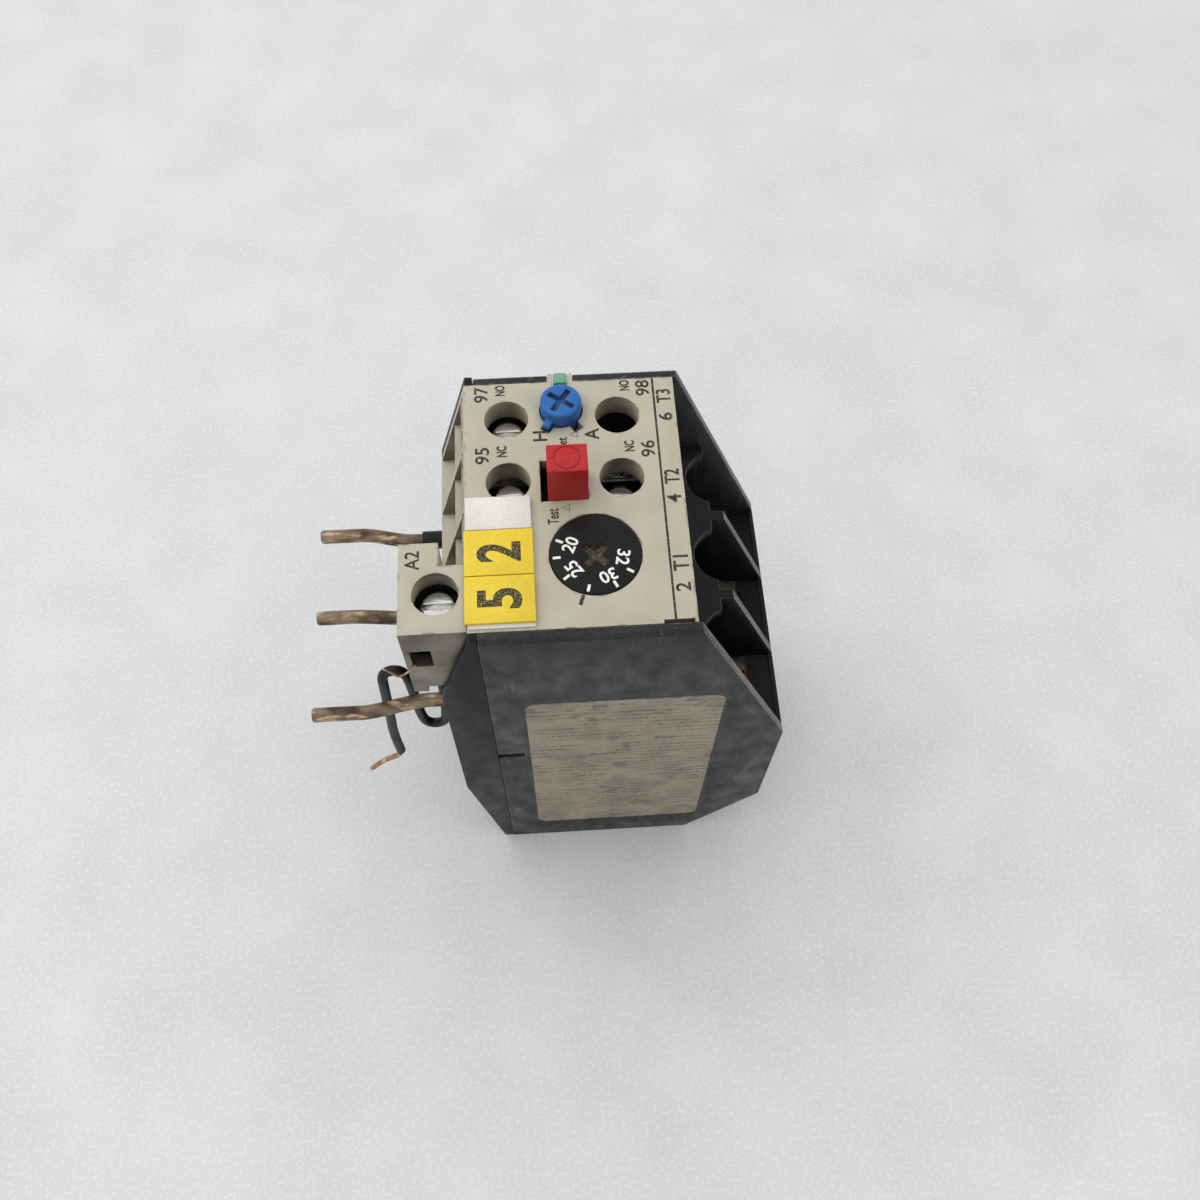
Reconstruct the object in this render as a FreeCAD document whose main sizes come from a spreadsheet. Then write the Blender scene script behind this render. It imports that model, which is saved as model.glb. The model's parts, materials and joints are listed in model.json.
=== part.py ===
"""Thermal overload relay with plug-in contact pins, as a parametric FreeCAD document.

The relay lies on its flat back. +Z rises to the front panel, +X points to the main terminals,
-X to the plug-in pins, and the poles stand side by side along Y. Lengths are in millimetres.
"""
import FreeCAD, Part
import math
import os
import re
import Sketcher

V = FreeCAD.Vector

SIZES = {
    # outline of the housing, seen from the side
    "width": 55.0, "height": 112.0, "cap_height": 23.0, "base_half": 22.3,
    "left_reach": 28.4, "left_low": 38.4, "right_reach": 37.9, "right_low": 22.8,
    "right_high": 62.4, "top_left": 21.8, "top_right": 17.5,
    # walls and gaps
    "cover_wall": 2.0, "end_step": 0.2, "seam_x": 20.25, "seam_gap": 0.15, "seat_gap": 0.1,
    "base_wall": 2.0, "floor_wall": 4.0, "rib_wall": 1.9, "ledge_wall": 2.5,
    "running_gap": 0.06, "slide_gap": 0.1, "touch_gap": 0.05, "shank_gap": 0.3, "press_gap": 0.02,
    "cover_chamfer": 0.8, "latch_slot_low": 56.2, "latch_slot_high": 58.4,
    "latch_slot_depth": 1.4, "latch_slot_end": 1.2,
    # poles: heater chambers and main terminals
    "pole_share": 0.32, "chamber_gap": 4.0, "partition_x": 16.8, "ledge_edge": 24.4,
    "main_screw_x": 26.2, "driver_radius": 5.9, "main_seat": 61.6, "lip_wall": 0.8, "load_bar_wall": 1.2,
    "load_bar_width": 10.0, "load_bar_end": 7.0, "main_shank_radius": 2.45,
    "main_shank": 9.0, "main_shank_hole": 12.0, "main_head_radius": 4.4,
    "main_head_height": 3.2, "main_washer": 10.0, "main_washer_wall": 1.3, "main_lift": 3.8,
    "main_slot": 1.2,
    # bimetals, heaters and trip slides
    "strip_x": -5.0, "strip_width": 8.0, "strip_wall": 0.8, "strip_foot": 20.0,
    "strip_drop": 2.5, "foot_block_top": 22.0, "foot_margin": 2.0, "foot_half": 3.0,
    "coil_turns": 8.0, "coil_low": 34.0, "coil_pitch": 4.8, "ribbon": 1.6, "coil_half_x": 6.0,
    "coil_half_y": 3.2, "coil_wall": 0.8, "coil_lug": 0.4, "coil_link": 1.0,
    "slide_drop": 7.0, "slide_height": 2.5, "slide_width": 3.2, "slide_end": 4.0,
    "slide_stop": 0.4, "trip_slide_x": -11.5, "differential_slide_x": 1.5, "finger_gap": 0.4,
    "finger": 2.0, "finger_step": 0.5, "slide_travel": 1.05, "post_rise": 3.5, "post_half": 1.2,
    "post_near": 0.6, "post_far": 2.6,
    # front cover
    "panel_wall": 2.5, "panel_left": 21.9, "panel_right": 16.8, "shell_wall": 1.5,
    "step_share": 0.4154, "step_drop": 10.5, "upper_step_share": 0.1231,
    "upper_step_drop": 4.4, "latch_x": 13.6, "latch_half": 2.6, "latch_depth": 0.7,
    "latch_drop": 1.6, "bay_rib": 1.2, "bay_far_inset": 12.6, "bay_near": 0.1,
    "bay_end_inset": 13.2, "bay_floor": 0.6, "notch_inset": 1.7,
    # auxiliary terminals
    "left_column": -14.25, "right_column": 5.95, "far_inset": 8.0, "near_row": 3.9,
    "access_radius": 4.02, "boss_radius": 5.2, "boss_drop": 4.8, "plate_drop": 18.0,
    "plate_wall": 1.0, "plate_width": 7.0, "rail_end": 5.2, "rail_contact": 1.8,
    "aux_shank_radius": 1.5, "aux_shank": 6.0, "aux_head_radius": 3.0, "aux_head_height": 2.2,
    "aux_slot": 0.9, "aux_washer": 6.4, "aux_washer_trim": 0.6, "aux_washer_wall": 1.0,
    "lift_95": 5.3, "lift_96": 2.2, "lift_97": 5.0, "lift_98": 0.1,
    # tray on the deck
    "tray_wall": 2.0, "tray_gap": 0.2, "tray_end": 2.2, "tray_side": 0.3, "rail_pad_outer": 4.8,
    "rail_pad_inner": 3.2, "rail_pad_half": 3.0, "hold_half": 1.4, "hold_near": 0.3,
    "hold_far": 1.8, "post_slot_half": 1.5,
    # contact carrier, bridges and indicator
    "carrier_x": -4.1, "carrier_width": 4.8, "carrier_wall": 1.3, "carrier_near": 0.9,
    "carrier_gap": 0.3, "stirrup": 0.6, "stirrup_foot": 0.5, "contact_travel": 1.8,
    "bridge_wall": 0.6, "bridge_width": 3.0, "bridge_half": 6.2, "indicator_width": 2.6,
    "indicator_rise": 0.8, "indicator_inset": 0.8, "indicator_step": 5.7,
    "indicator_edge": 0.6, "notch_gap": 1.05, "notch_depth": 6.0, "ear_gap": 0.12,
    "ear_reach": 0.95, "ear_depth": 5.9,
    # reset knob and plunger
    "reset_x": -4.2, "reset_inset": 6.4, "knob_radius": 3.75, "knob_hole": 4.0, "knob_rise": 3.0,
    "knob_chamfer": 0.35, "knob_slot_half": 0.55, "knob_slot_reach": 2.7, "knob_slot_depth": 1.3,
    "well_radius": 4.7, "well_wall": 1.0, "shelf_drop": 8.6, "shelf_wall": 1.0,
    "stem_radius": 1.9, "stem_end": 1.4, "plunger_flange": 4.4, "flange_wall": 1.2,
    "knob_pin": 1.5, "pin_cover": 2.1, "pointer_reach": 5.3, "pointer_width": 1.3,
    "pointer_low": 0.25, "pointer_high": 1.35, "pointer_gap": 0.3, "pointer_root": 2.5,
    "reset_coil_radius": 2.75, "spring_wire": 0.2,
    # test button
    "button_x": -3.78, "button_y": 2.4, "button_width": 7.05, "button_depth": 5.6,
    "button_rise": 9.2, "button_edge": 0.35, "button_flange": 1.5, "window_left": -8.6,
    "window_right": -0.15, "window_near": -0.5, "window_far": 8.0, "well_near": 1.4,
    "well_far": 0.7, "flange_near": 1.2, "flange_far": 0.5, "post_side": 1.3,
    "test_post_end": 1.4, "test_coil_radius": 2.3, "ring_outside": 2.35, "ring_inside": 2.15,
    "ring_depth": 0.25, "button_dish": 0.05,
    # setting dial
    "dial_x": 0.35, "dial_y": -11.5, "dial_radius": 7.85, "dial_gap": 0.25, "dial_wall": 1.5,
    "dial_shaft": 2.5, "dial_boss": 2.5, "dial_slot_reach": 1.9, "dial_slot_width": 0.55,
    "dial_slot_depth": 1.1, "cam_radius": 3.6, "cam_throw": 0.8, "cam_drop": 9.5,
    "cam_wall": 3.0,
    # levers on the tray and under the panel
    "lever_pin_radius": 0.9, "axle_radius": 0.75, "compensation_x": -18.4,
    "compensation_lag": 1.6, "compensation_radius": 1.9, "compensation_low": 0.3,
    "compensation_high": 8.0, "compensation_pin_high": 8.6, "arm_low": 1.5, "arm_high": 7.5,
    "arm_end": -7.4, "arm_near": 1.1, "arm_far": 0.3, "range_x": -8.6, "range_inset": 1.7,
    "range_half": 2.0, "range_end": 0.6, "range_low": 0.6, "range_wall": 1.5,
    "range_pin_low": 1.0, "trip_half": 1.5, "axle_half": 3.6, "axle_y": -17.0,
    "axle_drop": 0.6, "trip_tip": 0.6,
    # coil terminal block
    "block_left": 33.5, "block_side": 0.25, "block_far_inset": 17.6, "block_foot": 1.0,
    "coil_screw_x": -27.2, "coil_screw_inset": 7.7, "coil_plate_drop": 14.5,
    "coil_plate_wall": 1.2, "coil_plate_left": 4.4, "coil_plate_right": 3.8,
    "coil_plate_half": 4.2, "coil_room": 10.5, "coil_room_wall": 0.2, "coil_room_near": 5.2,
    "coil_room_far": 4.6, "coil_shaft_low": 8.0, "coil_shank_depth": 7.0,
    "coil_head_radius": 3.3, "coil_head_height": 2.4, "coil_shank_radius": 1.75,
    "coil_shank": 3.8, "coil_slot": 1.0, "coil_washer_x": 7.4, "coil_washer_y": 7.0,
    "coil_washer_wall": 1.0, "coil_lift": 5.2, "coil_access": 4.0, "wire_slot_left": 32.4,
    "wire_slot_right": 28.7, "wire_slot_low": 12.9, "wire_slot_high": 6.7, "groove_wall": 0.7,
    "wire_slot_depth": 4.0, "foot_slot_left": 2.6, "foot_slot_right": 0.9,
    "foot_slot_height": 2.2, "lead_bore_gap": 0.15, "lead_bore_end": 3.0,
    # plug-in pins and lead
    "pin_radius": 1.5, "pin_level": 68.0, "pin_offset": 0.9, "pin_tip": 56.4, "pin_root_gap": 0.45,
    "lead_radius": 1.05, "lead_x": -30.6, "lead_inset": 10.8, "lead_top": 2.0,
    "conductor_radius": 0.6, "strand_radius": 0.18, "sleeve_wall": 0.35, "sleeve_length": 6.2,
    # marker strip and rating label
    "tag_left": 22.2, "tag_right": 10.4, "tag_inset": 1.1, "tag_split": 6.6, "tag_pitch": 9.0,
    "tag_wall": 0.7, "carrier_strip": 0.4, "carrier_foot": 0.6, "tag_gap": 0.15, "tag_trim": 0.1,
    "white_trim": 0.3, "strip_trim": 0.5, "label_left": 13.7,
    "label_right": 24.2, "label_low": 10.0, "label_high": 84.2, "label_wall": 0.15,
    "label_recess": 0.25, "label_corner": 2.5,
}

# places that follow from the sizes, each worked out where it is used
PLACES = {
    "inner": "(width / 2 - cover_wall)",
    "cover_half": "(inner - seat_gap)",
    "deck_level": "(height - cap_height)",
    "panel_under": "(height - panel_wall)",
    "step_top": "(height - step_drop)",
    "upper_step_top": "(height - upper_step_drop)",
    "step_x": "(panel_left + step_share * (left_reach - panel_left))",
    "upper_step_x": "(panel_left + upper_step_share * (left_reach - panel_left))",
    "boss_bottom": "(height - boss_drop)",
    "shelf_level": "(height - shelf_drop)",
    "cam_level": "(height - cam_drop)",
    "plate_level": "(height - plate_drop)",
    "coil_plate_level": "(height - coil_plate_drop)",
    "knob_top": "(height + knob_rise)",
    "button_top": "(height + button_rise)",
    "indicator_top": "(height + indicator_rise)",
    "slide_level": "(deck_level - slide_drop)",
    "strip_top": "(deck_level - strip_drop)",
    "block_bottom": "(deck_level - block_foot)",
    "tray_top": "(deck_level + tray_wall)",
    "pole_pitch": "(pole_share * width)",
    "chamber_width": "(pole_pitch - chamber_gap)",
    "pin_root": "(pole_pitch + pin_offset)",
    "slide_reach": "(inner - slide_end)",
    "far_row": "(cover_half - far_inset)",
    "reset_y": "(cover_half - reset_inset)",
    "bay_far": "(cover_half - bay_far_inset)",
    "bay_end": "(bay_end_inset - cover_half)",
    "block_far": "(block_far_inset - cover_half)",
    "block_notch": "(left_reach - notch_inset)",
    "coil_screw_y": "(coil_screw_inset - cover_half)",
    "lead_y": "(lead_inset - cover_half)",
    "tag_near": "(tag_inset - cover_half)",
    "tag_far": "(tag_near + tag_split + 2 * tag_pitch)",
    "compensation_y": "(dial_y - compensation_lag)",
    "range_near": "(shell_wall + range_inset - cover_half)",
    "axle_level": "(plate_level - axle_drop)",
}

PLACE_NAMES = re.compile(r"\b(" + "|".join(sorted(PLACES, key=len, reverse=True)) + r")\b")
NAMES = re.compile(r"\b(" + "|".join(sorted(SIZES, key=len, reverse=True)) + r")\b")

HALF = "width / 2"
INNER = "inner"
COVER_HALF = "cover_half"
PANEL_UNDER = "panel_under"
RIGHT_SLANT = ("(top_right + (height - deck_level) * (right_reach - top_right)"
               " / (height - right_high))")

doc = FreeCAD.newDocument("ThermalOverloadRelay")
sheet = doc.addObject("Spreadsheet::Sheet", "Sizes")
PARTS = []


def fill_sheet():
    """Write every driving size into the sheet, one named cell each."""
    for row, (name, value) in enumerate(SIZES.items(), start=1):
        sheet.set(f"A{row}", name)
        sheet.set(f"B{row}", str(value))
        sheet.setAlias(f"B{row}", name)
    doc.recompute()


def bound(expression):
    """Work out places in terms of sizes, then refer each size to its cell in the sheet."""
    text = str(expression)
    while PLACE_NAMES.search(text):
        text = PLACE_NAMES.sub(lambda found: PLACES[found.group(1)], text)
    return NAMES.sub(r"Sizes.\1", text)


def value(expression):
    """Work out an expression of size names as a number, the way a bound property does."""
    return float(sheet.evalExpression(bound(expression)))


def add_part(obj, label):
    """Give a finished sub-part its name and list it for export."""
    obj.Label = label
    PARTS.append(obj)
    return obj


# ---------------------------------------------------------------- sketches and features

def new_body(label):
    """Start a body that will be exported under its label."""
    return add_part(doc.addObject("PartDesign::Body", "Body_" + label), label)


def origin_plane(body, role):
    """Find one of the body's own origin planes."""
    return [item for item in body.Origin.OriginFeatures if item.Role == role][0]


def polygon(*corners):
    """Closed outline through corners, each a pair of expressions."""
    return ("polygon", corners)


def rectangle(x_low, x_high, y_low, y_high):
    """Rectangle between two pairs of expressions."""
    return polygon((x_low, y_low), (x_high, y_low), (x_high, y_high), (x_low, y_high))


def square_about(x, y, half):
    """Square about a centre."""
    return rectangle(f"{x} - {half}", f"{x} + {half}", f"{y} - {half}", f"{y} + {half}")


def disc(x, y, radius):
    """Full circle about a centre."""
    return ("disc", (x, y, radius))


def pin_vertex(sketch, index, end, x, y):
    """Tie one vertex to a pair of expressions, measured from the sketch's origin."""
    for kind, expression in (("DistanceX", x), ("DistanceY", y)):
        number = value(expression)
        constraint = sketch.addConstraint(Sketcher.Constraint(kind, -1, 1, index, end, number))
        sketch.setExpression(f"Constraints[{constraint}]", bound(expression))


def draw(sketch, outlines):
    """Draw outlines into a sketch with every size bound to the sheet."""
    for kind, data in outlines:
        if kind == "disc":
            x, y, radius = data
            centre = V(value(x), value(y), 0)
            index = sketch.addGeometry(Part.Circle(centre, V(0, 0, 1), value(radius)), False)
            pin_vertex(sketch, index, 3, x, y)
            constraint = sketch.addConstraint(Sketcher.Constraint("Radius", index, value(radius)))
            sketch.setExpression(f"Constraints[{constraint}]", bound(radius))
            continue
        points = [V(value(x), value(y), 0) for x, y in data]
        first = sketch.GeometryCount
        count = len(points)
        for step in range(count):
            line = Part.LineSegment(points[step], points[(step + 1) % count])
            sketch.addGeometry(line, False)
        for step in range(count):
            after = first + (step + 1) % count
            sketch.addConstraint(Sketcher.Constraint("Coincident", first + step, 2, after, 1))
        for step, (x, y) in enumerate(data):
            pin_vertex(sketch, first + step, 1, x, y)


def new_sketch(body, plane, level, outlines):
    """Sketch on one of the body's origin planes, moved along its normal to a level."""
    sketch = body.newObject("Sketcher::SketchObject", "Sketch")
    sketch.AttachmentSupport = [(origin_plane(body, plane + "_Plane"), "")]
    sketch.MapMode = "FlatFace"
    sketch.setExpression("AttachmentOffset.Base.z", bound(level))
    draw(sketch, outlines)
    return sketch


def span(plane, low, high):
    """Levels of a span along the plane's normal; the XZ plane's normal points along -Y."""
    if plane == "XZ":
        return f"-({high})", f"-({low})"
    return f"({low})", f"({high})"


def pad(body, plane, low, high, *outlines):
    """Add material between two coordinates along the axis normal to the plane."""
    start, end = span(plane, low, high)
    feature = body.newObject("PartDesign::Pad", "Pad")
    feature.Profile = new_sketch(body, plane, start, outlines)
    feature.Length = value(f"{end} - {start}")
    feature.setExpression("Length", bound(f"{end} - {start}"))
    doc.recompute()
    return feature


def pocket(body, plane, low, high, *outlines):
    """Remove material between two coordinates along the axis normal to the plane."""
    start, end = span(plane, low, high)
    before = body.Shape.Volume
    feature = body.newObject("PartDesign::Pocket", "Pocket")
    feature.Profile = new_sketch(body, plane, end, outlines)
    feature.Length = value(f"{end} - {start}")
    feature.setExpression("Length", bound(f"{end} - {start}"))
    doc.recompute()
    if body.Shape.Volume > before - 1e-6:
        raise ValueError(f"{body.Label}: a pocket cuts nothing")
    return feature


def finish_edges(body, kind, size, chosen):
    """Fillet or chamfer the edges that the test picks out of the body's tip."""
    tip = body.Tip
    names = [f"Edge{number}" for number, edge in enumerate(tip.Shape.Edges, start=1)
             if chosen(edge)]
    if not names:
        raise ValueError(f"{body.Label}: no edge to finish")
    feature = body.newObject("PartDesign::" + kind, kind)
    feature.Base = (tip, names)
    size_name = "Radius" if kind == "Fillet" else "Size"
    setattr(feature, size_name, value(size))
    feature.setExpression(size_name, bound(size))
    doc.recompute()
    return feature


def parallel(edge, axis):
    """True for a straight edge along X, Y or Z."""
    if not isinstance(edge.Curve, Part.Line):
        return False
    direction = (edge.Vertexes[-1].Point - edge.Vertexes[0].Point).normalize()
    return abs(abs(direction["XYZ".index(axis)]) - 1) < 1e-6


def place(obj, x="0", y="0", z="0"):
    """Bind a sub-part's place to the sheet."""
    for axis, expression in zip("xyz", (x, y, z)):
        obj.setExpression(f"Placement.Base.{axis}", bound(expression))


def group(label, members):
    """Join identical, separate solids in one sub-part."""
    for member in members:
        if member in PARTS:
            PARTS.remove(member)
    compound = doc.addObject("Part::Compound", "Group_" + label)
    compound.Links = members
    return add_part(compound, label)


def pole(step):
    """Y coordinate of a pole: -1, 0 or 1."""
    return f"({step} * pole_pitch)"


# ---------------------------------------------------------------- housing

def side_outline(top):
    """Corners of the housing's side, from the seam of the cover round to its top."""
    return (("-seam_x", "0"), ("base_half", "0"), ("right_reach", "right_low"),
            ("right_reach", "right_high"), ("top_right", top), ("-seam_x", top))


def base_housing():
    """Black moulding: heater chambers, terminal chambers with their ledge, and end walls."""
    body = new_body("base_housing")
    pad(body, "XZ", f"-{INNER}", INNER, polygon(
        ("-base_half", "0"), ("base_half", "0"), ("right_reach", "right_low"),
        ("right_reach", "right_high"), (RIGHT_SLANT, "deck_level"),
        ("-left_reach", "deck_level"), ("-left_reach", "left_low")))
    end_wall = polygon(
        ("-base_half", "0"), ("-seam_x - seam_gap", "0"), ("-seam_x - seam_gap", "height"),
        ("-top_left", "height"), ("-left_reach", "deck_level"), ("-left_reach", "left_low"))
    outside = f"({HALF} - end_step)"
    pad(body, "XZ", f"-{outside}", f"-{INNER}", end_wall)
    pad(body, "XZ", INNER, outside, end_wall)
    for step in (-1, 0, 1):
        middle = pole(step)
        pocket(body, "XZ", f"{middle} - chamber_width / 2", f"{middle} + chamber_width / 2",
               polygon(("-left_reach + base_wall", "deck_level + 1"),
                       ("-left_reach + base_wall", "left_low + 1"),
                       ("-base_half + base_wall", "floor_wall"),
                       ("partition_x - base_wall", "floor_wall"),
                       ("partition_x - base_wall", "deck_level + 1")))
    terminal_space = polygon(
        ("partition_x", "main_seat"), ("right_reach - lip_wall", "main_seat"),
        ("right_reach - lip_wall", "right_high"), ("right_reach + 1", "right_high"),
        ("right_reach + 1", "deck_level + 1"), ("ledge_edge", "deck_level + 1"),
        ("ledge_edge", "deck_level - ledge_wall"), ("partition_x", "deck_level - ledge_wall"))
    inner_edge = "((pole_pitch - rib_wall) / 2)"
    outer_edge = "((pole_pitch + rib_wall) / 2)"
    pocket(body, "XZ", f"-{inner_edge}", inner_edge, terminal_space)
    pocket(body, "XZ", outer_edge, f"{INNER} + 1", terminal_space)
    pocket(body, "XZ", f"-{INNER} - 1", f"-{outer_edge}", terminal_space)
    pocket(body, "XY", "deck_level - ledge_wall - 1", "deck_level + 1",
           *[disc("main_screw_x", pole(step), "driver_radius") for step in (-1, 0, 1)])
    for step in (-1, 0, 1):
        foot_block(body, pole(step))
    bar_slots(body)
    slide_channels(body)
    pocket(body, "YZ", "-left_reach - 1", "-left_reach + base_wall + 1",
           *[disc(y, "pin_level", "pin_radius + slide_gap")
             for y in ("-pin_root", "0", "pin_root")])
    return body


def foot_block(body, middle):
    """Saddle on the chamber's floor with the slot that holds a bimetal's foot."""
    reach = "(strip_width / 2 + foot_margin)"
    pad(body, "XY", "floor_wall", "foot_block_top",
        rectangle(f"strip_x - {reach}", f"strip_x + {reach}",
                  f"{middle} - foot_half", f"{middle} + foot_half"))
    slot = "(strip_width / 2 + slide_gap)"
    pocket(body, "XY", "strip_foot - touch_gap", "foot_block_top + 1",
           rectangle(f"strip_x - {slot}", f"strip_x + {slot}",
                     f"{middle} - strip_wall / 2 - slide_gap",
                     f"{middle} + strip_wall / 2 + slide_gap"))


def bar_slots(body):
    """Slots in the partition for the load bars, and blind holes under the main screws."""
    half = "(load_bar_width / 2 + slide_gap)"
    slots = [rectangle(f"{pole(step)} - {half}", f"{pole(step)} + {half}",
                       "main_seat", "main_seat + load_bar_wall + slide_gap")
             for step in (-1, 0, 1)]
    pocket(body, "YZ", "partition_x - base_wall - 1", "partition_x + 1", *slots)
    pocket(body, "XY", "main_seat - main_shank_hole", "main_seat + 1",
           *[disc("main_screw_x", pole(step), "main_shank_radius + shank_gap")
             for step in (-1, 0, 1)])


def slide_channels(body):
    """Notches across the walls between the chambers, in which the two trip slides run."""
    for middle in ("trip_slide_x", "differential_slide_x"):
        half = "(slide_width / 2 + slide_gap)"
        pocket(body, "XY", "slide_level", "deck_level + 1",
               rectangle(f"{middle} - {half}", f"{middle} + {half}",
                         "-slide_reach - slide_travel - slide_stop", "slide_reach + slide_stop"))


def side_cover(label, side):
    """Flat black cover; side is -1 for the label side, 1 for the indicator side."""
    body = new_body(label)
    low, high = (INNER, HALF) if side > 0 else (f"-{HALF}", f"-{INNER}")
    pad(body, "XZ", low, high, polygon(*side_outline("height")))
    if side > 0:
        half = "(indicator_width / 2 + notch_gap)"
        pocket(body, "XZ", f"{low} - 1", f"{high} + 1",
               rectangle(f"carrier_x - {half}", f"carrier_x + {half}",
                         "height - notch_depth", "height + 1"))
    else:
        pocket(body, "XZ", f"{low} - 1", f"{low} + label_recess", rectangle(
            "-label_left - seat_gap", "label_right + seat_gap",
            "label_low - seat_gap", "label_high + seat_gap"))
        finish_edges(body, "Fillet", "label_corner", lambda edge: parallel(edge, "Y")
                     and edge.Length < value("cover_wall") / 2)
        pocket(body, "XZ", f"{low} - 1", f"{low} + latch_slot_depth", rectangle(
            "-seam_x - 1", "-label_left - latch_slot_end", "latch_slot_low", "latch_slot_high"))
    finish_edges(body, "Chamfer", "cover_chamfer", lambda edge: parallel(edge, "X")
                 and abs(edge.CenterOfMass.z - value("height")) < 0.01
                 and abs(abs(edge.CenterOfMass.y) - value(HALF)) < 0.01)
    return body


def bay_profile():
    """Stepped wall of the wire bays, seen from the side."""
    return polygon(
        ("-left_reach - 1", "deck_level + bay_floor"), ("-step_x", "deck_level + bay_floor"),
        ("-step_x", "step_top"), ("-upper_step_x", "step_top"),
        ("-upper_step_x", "upper_step_top"), ("-panel_left - slide_stop", "upper_step_top"),
        ("-panel_left - slide_stop", "height + 1"), ("-left_reach - 1", "height + 1"))


def front_cover():
    """Beige cap with the front panel, the stepped wire bays and the button guides."""
    body = new_body("front_cover")
    pad(body, "XZ", f"-{COVER_HALF}", COVER_HALF, polygon(
        ("-left_reach", "deck_level"), ("panel_right", "deck_level"),
        ("panel_right", "height"), ("-panel_left", "height")))
    pocket(body, "XZ", f"-{COVER_HALF} + shell_wall", f"{COVER_HALF} - shell_wall", polygon(
        ("-step_x + shell_wall", "deck_level - 1"), ("panel_right - shell_wall", "deck_level - 1"),
        ("panel_right - shell_wall", PANEL_UNDER), ("-panel_left + 1", PANEL_UNDER),
        ("-panel_left + 1", "step_top - shell_wall"),
        ("-step_x + shell_wall", "step_top - shell_wall")))
    for low, high in (("bay_far", f"{COVER_HALF} - bay_rib"), ("bay_near", "bay_far - bay_rib"),
                      ("bay_end", "bay_near - bay_rib")):
        pocket(body, "XZ", low, high, bay_profile())
    pocket(body, "XY", "deck_level - 1", "height + 1", rectangle(
        "-left_reach - 1", "-block_notch + seat_gap", f"-{COVER_HALF} - 1",
        "block_far + seat_gap"))
    pocket(body, "XY", "deck_level - 1", "height + 1", rectangle(
        "-left_reach - 1", "-panel_left", f"-{COVER_HALF} - 1", "bay_end"))
    pocket(body, "XY", "height - latch_drop", "height + 1", rectangle(
        "latch_x - latch_half", "latch_x + latch_half", f"-{COVER_HALF} - 1",
        f"-{COVER_HALF} + latch_depth"))
    cover_end_wall(body)
    cover_guides(body)
    cover_holes(body)
    return body


def cover_end_wall(body):
    """Wall behind the coil terminal block, where the bays end."""
    pad(body, "XZ", f"-{COVER_HALF}", "bay_end", rectangle(
        "-panel_left", "-panel_left + shell_wall", "deck_level", PANEL_UNDER))
    pad(body, "XZ", "bay_end", "bay_end + shell_wall", rectangle(
        "-step_x", "-panel_left + shell_wall", "deck_level", "step_top"))


def cover_guides(body):
    """Bosses round the screw holes and the guide wells of the button and the plunger."""
    bosses = [disc(x, y, "boss_radius") for x in ("left_column", "right_column")
              for y in ("far_row", "near_row")]
    for boss in bosses:
        pad(body, "XY", "boss_bottom", f"{PANEL_UNDER} + 0.2", boss)
    shelf = "(shelf_level - shelf_wall)"
    pad(body, "XY", shelf, f"{PANEL_UNDER} + 0.2",
        disc("reset_x", "reset_y", "well_radius + well_wall"))
    pad(body, "XY", shelf, f"{PANEL_UNDER} + 0.2", rectangle(
        "window_left - well_wall", "window_right + well_wall",
        "window_near - well_near - well_wall", "window_far + well_far + well_wall"))
    pad(body, "XY", "step_top - shell_wall", f"{PANEL_UNDER} + 0.2", rectangle(
        "-upper_step_x", "-panel_left + shell_wall", "bay_end", f"{COVER_HALF} - shell_wall"))
    pad(body, "XY", f"{PANEL_UNDER} - shell_wall", f"{PANEL_UNDER} + 0.2",
        disc("dial_x", "dial_y", "dial_shaft + dial_boss"))


def cover_holes(body):
    """Every hole in the panel and its guides."""
    for x in ("left_column", "right_column"):
        for y in ("far_row", "near_row"):
            pocket(body, "XY", "boss_bottom - 1", "height + 1", disc(x, y, "access_radius"))
    pocket(body, "XY", "shelf_level", PANEL_UNDER, disc("reset_x", "reset_y", "well_radius"))
    pocket(body, "XY", "shelf_level - shelf_wall - 1", "shelf_level + 0.5",
           disc("reset_x", "reset_y", "stem_radius + slide_gap"))
    pocket(body, "XY", PANEL_UNDER + " - 0.5", "height + 1",
           disc("reset_x", "reset_y", "knob_hole"))
    for angle in (-125, -55):
        pointer_notch(body, angle)
    pocket(body, "XY", "shelf_level", PANEL_UNDER, rectangle(
        "window_left", "window_right", "window_near - well_near", "window_far + well_far"))
    pocket(body, "XY", PANEL_UNDER + " - 0.5", "height + 1",
           rectangle("window_left", "window_right", "window_near", "window_far"))
    pocket(body, "XY", "shelf_level - shelf_wall - 1", "shelf_level + 0.5",
           square_about("button_x", "button_y", "(post_side + slide_gap)"))
    pocket(body, "XY", "height - dial_wall - slide_gap", "height + 1",
           disc("dial_x", "dial_y", "dial_radius + dial_gap"))
    pocket(body, "XY", "cam_level", "height", disc("dial_x", "dial_y", "dial_shaft + running_gap"))
    half = "(indicator_width / 2 + ear_gap)"
    pocket(body, "XZ", f"{COVER_HALF} - shell_wall - 0.5", f"{COVER_HALF} + 1", rectangle(
        f"carrier_x - {half}", f"carrier_x + {half}", "plate_level + 1", "height + 1"))
    wire_windows(body)
    cover_ears(body)


def cover_ears(body):
    """Two ears that stand in the side cover's notch, one on each side of the indicator."""
    for side in (-1, 1):
        near, far = "(indicator_width / 2 + ear_gap)", "(indicator_width / 2 + ear_reach)"
        low, high = (f"-{far}", f"-{near}") if side < 0 else (near, far)
        pad(body, "XY", "height - ear_depth", "height", rectangle(
            f"carrier_x + {low}", f"carrier_x + {high}",
            f"{COVER_HALF} - 0.3", f"{HALF} - end_step"))


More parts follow.
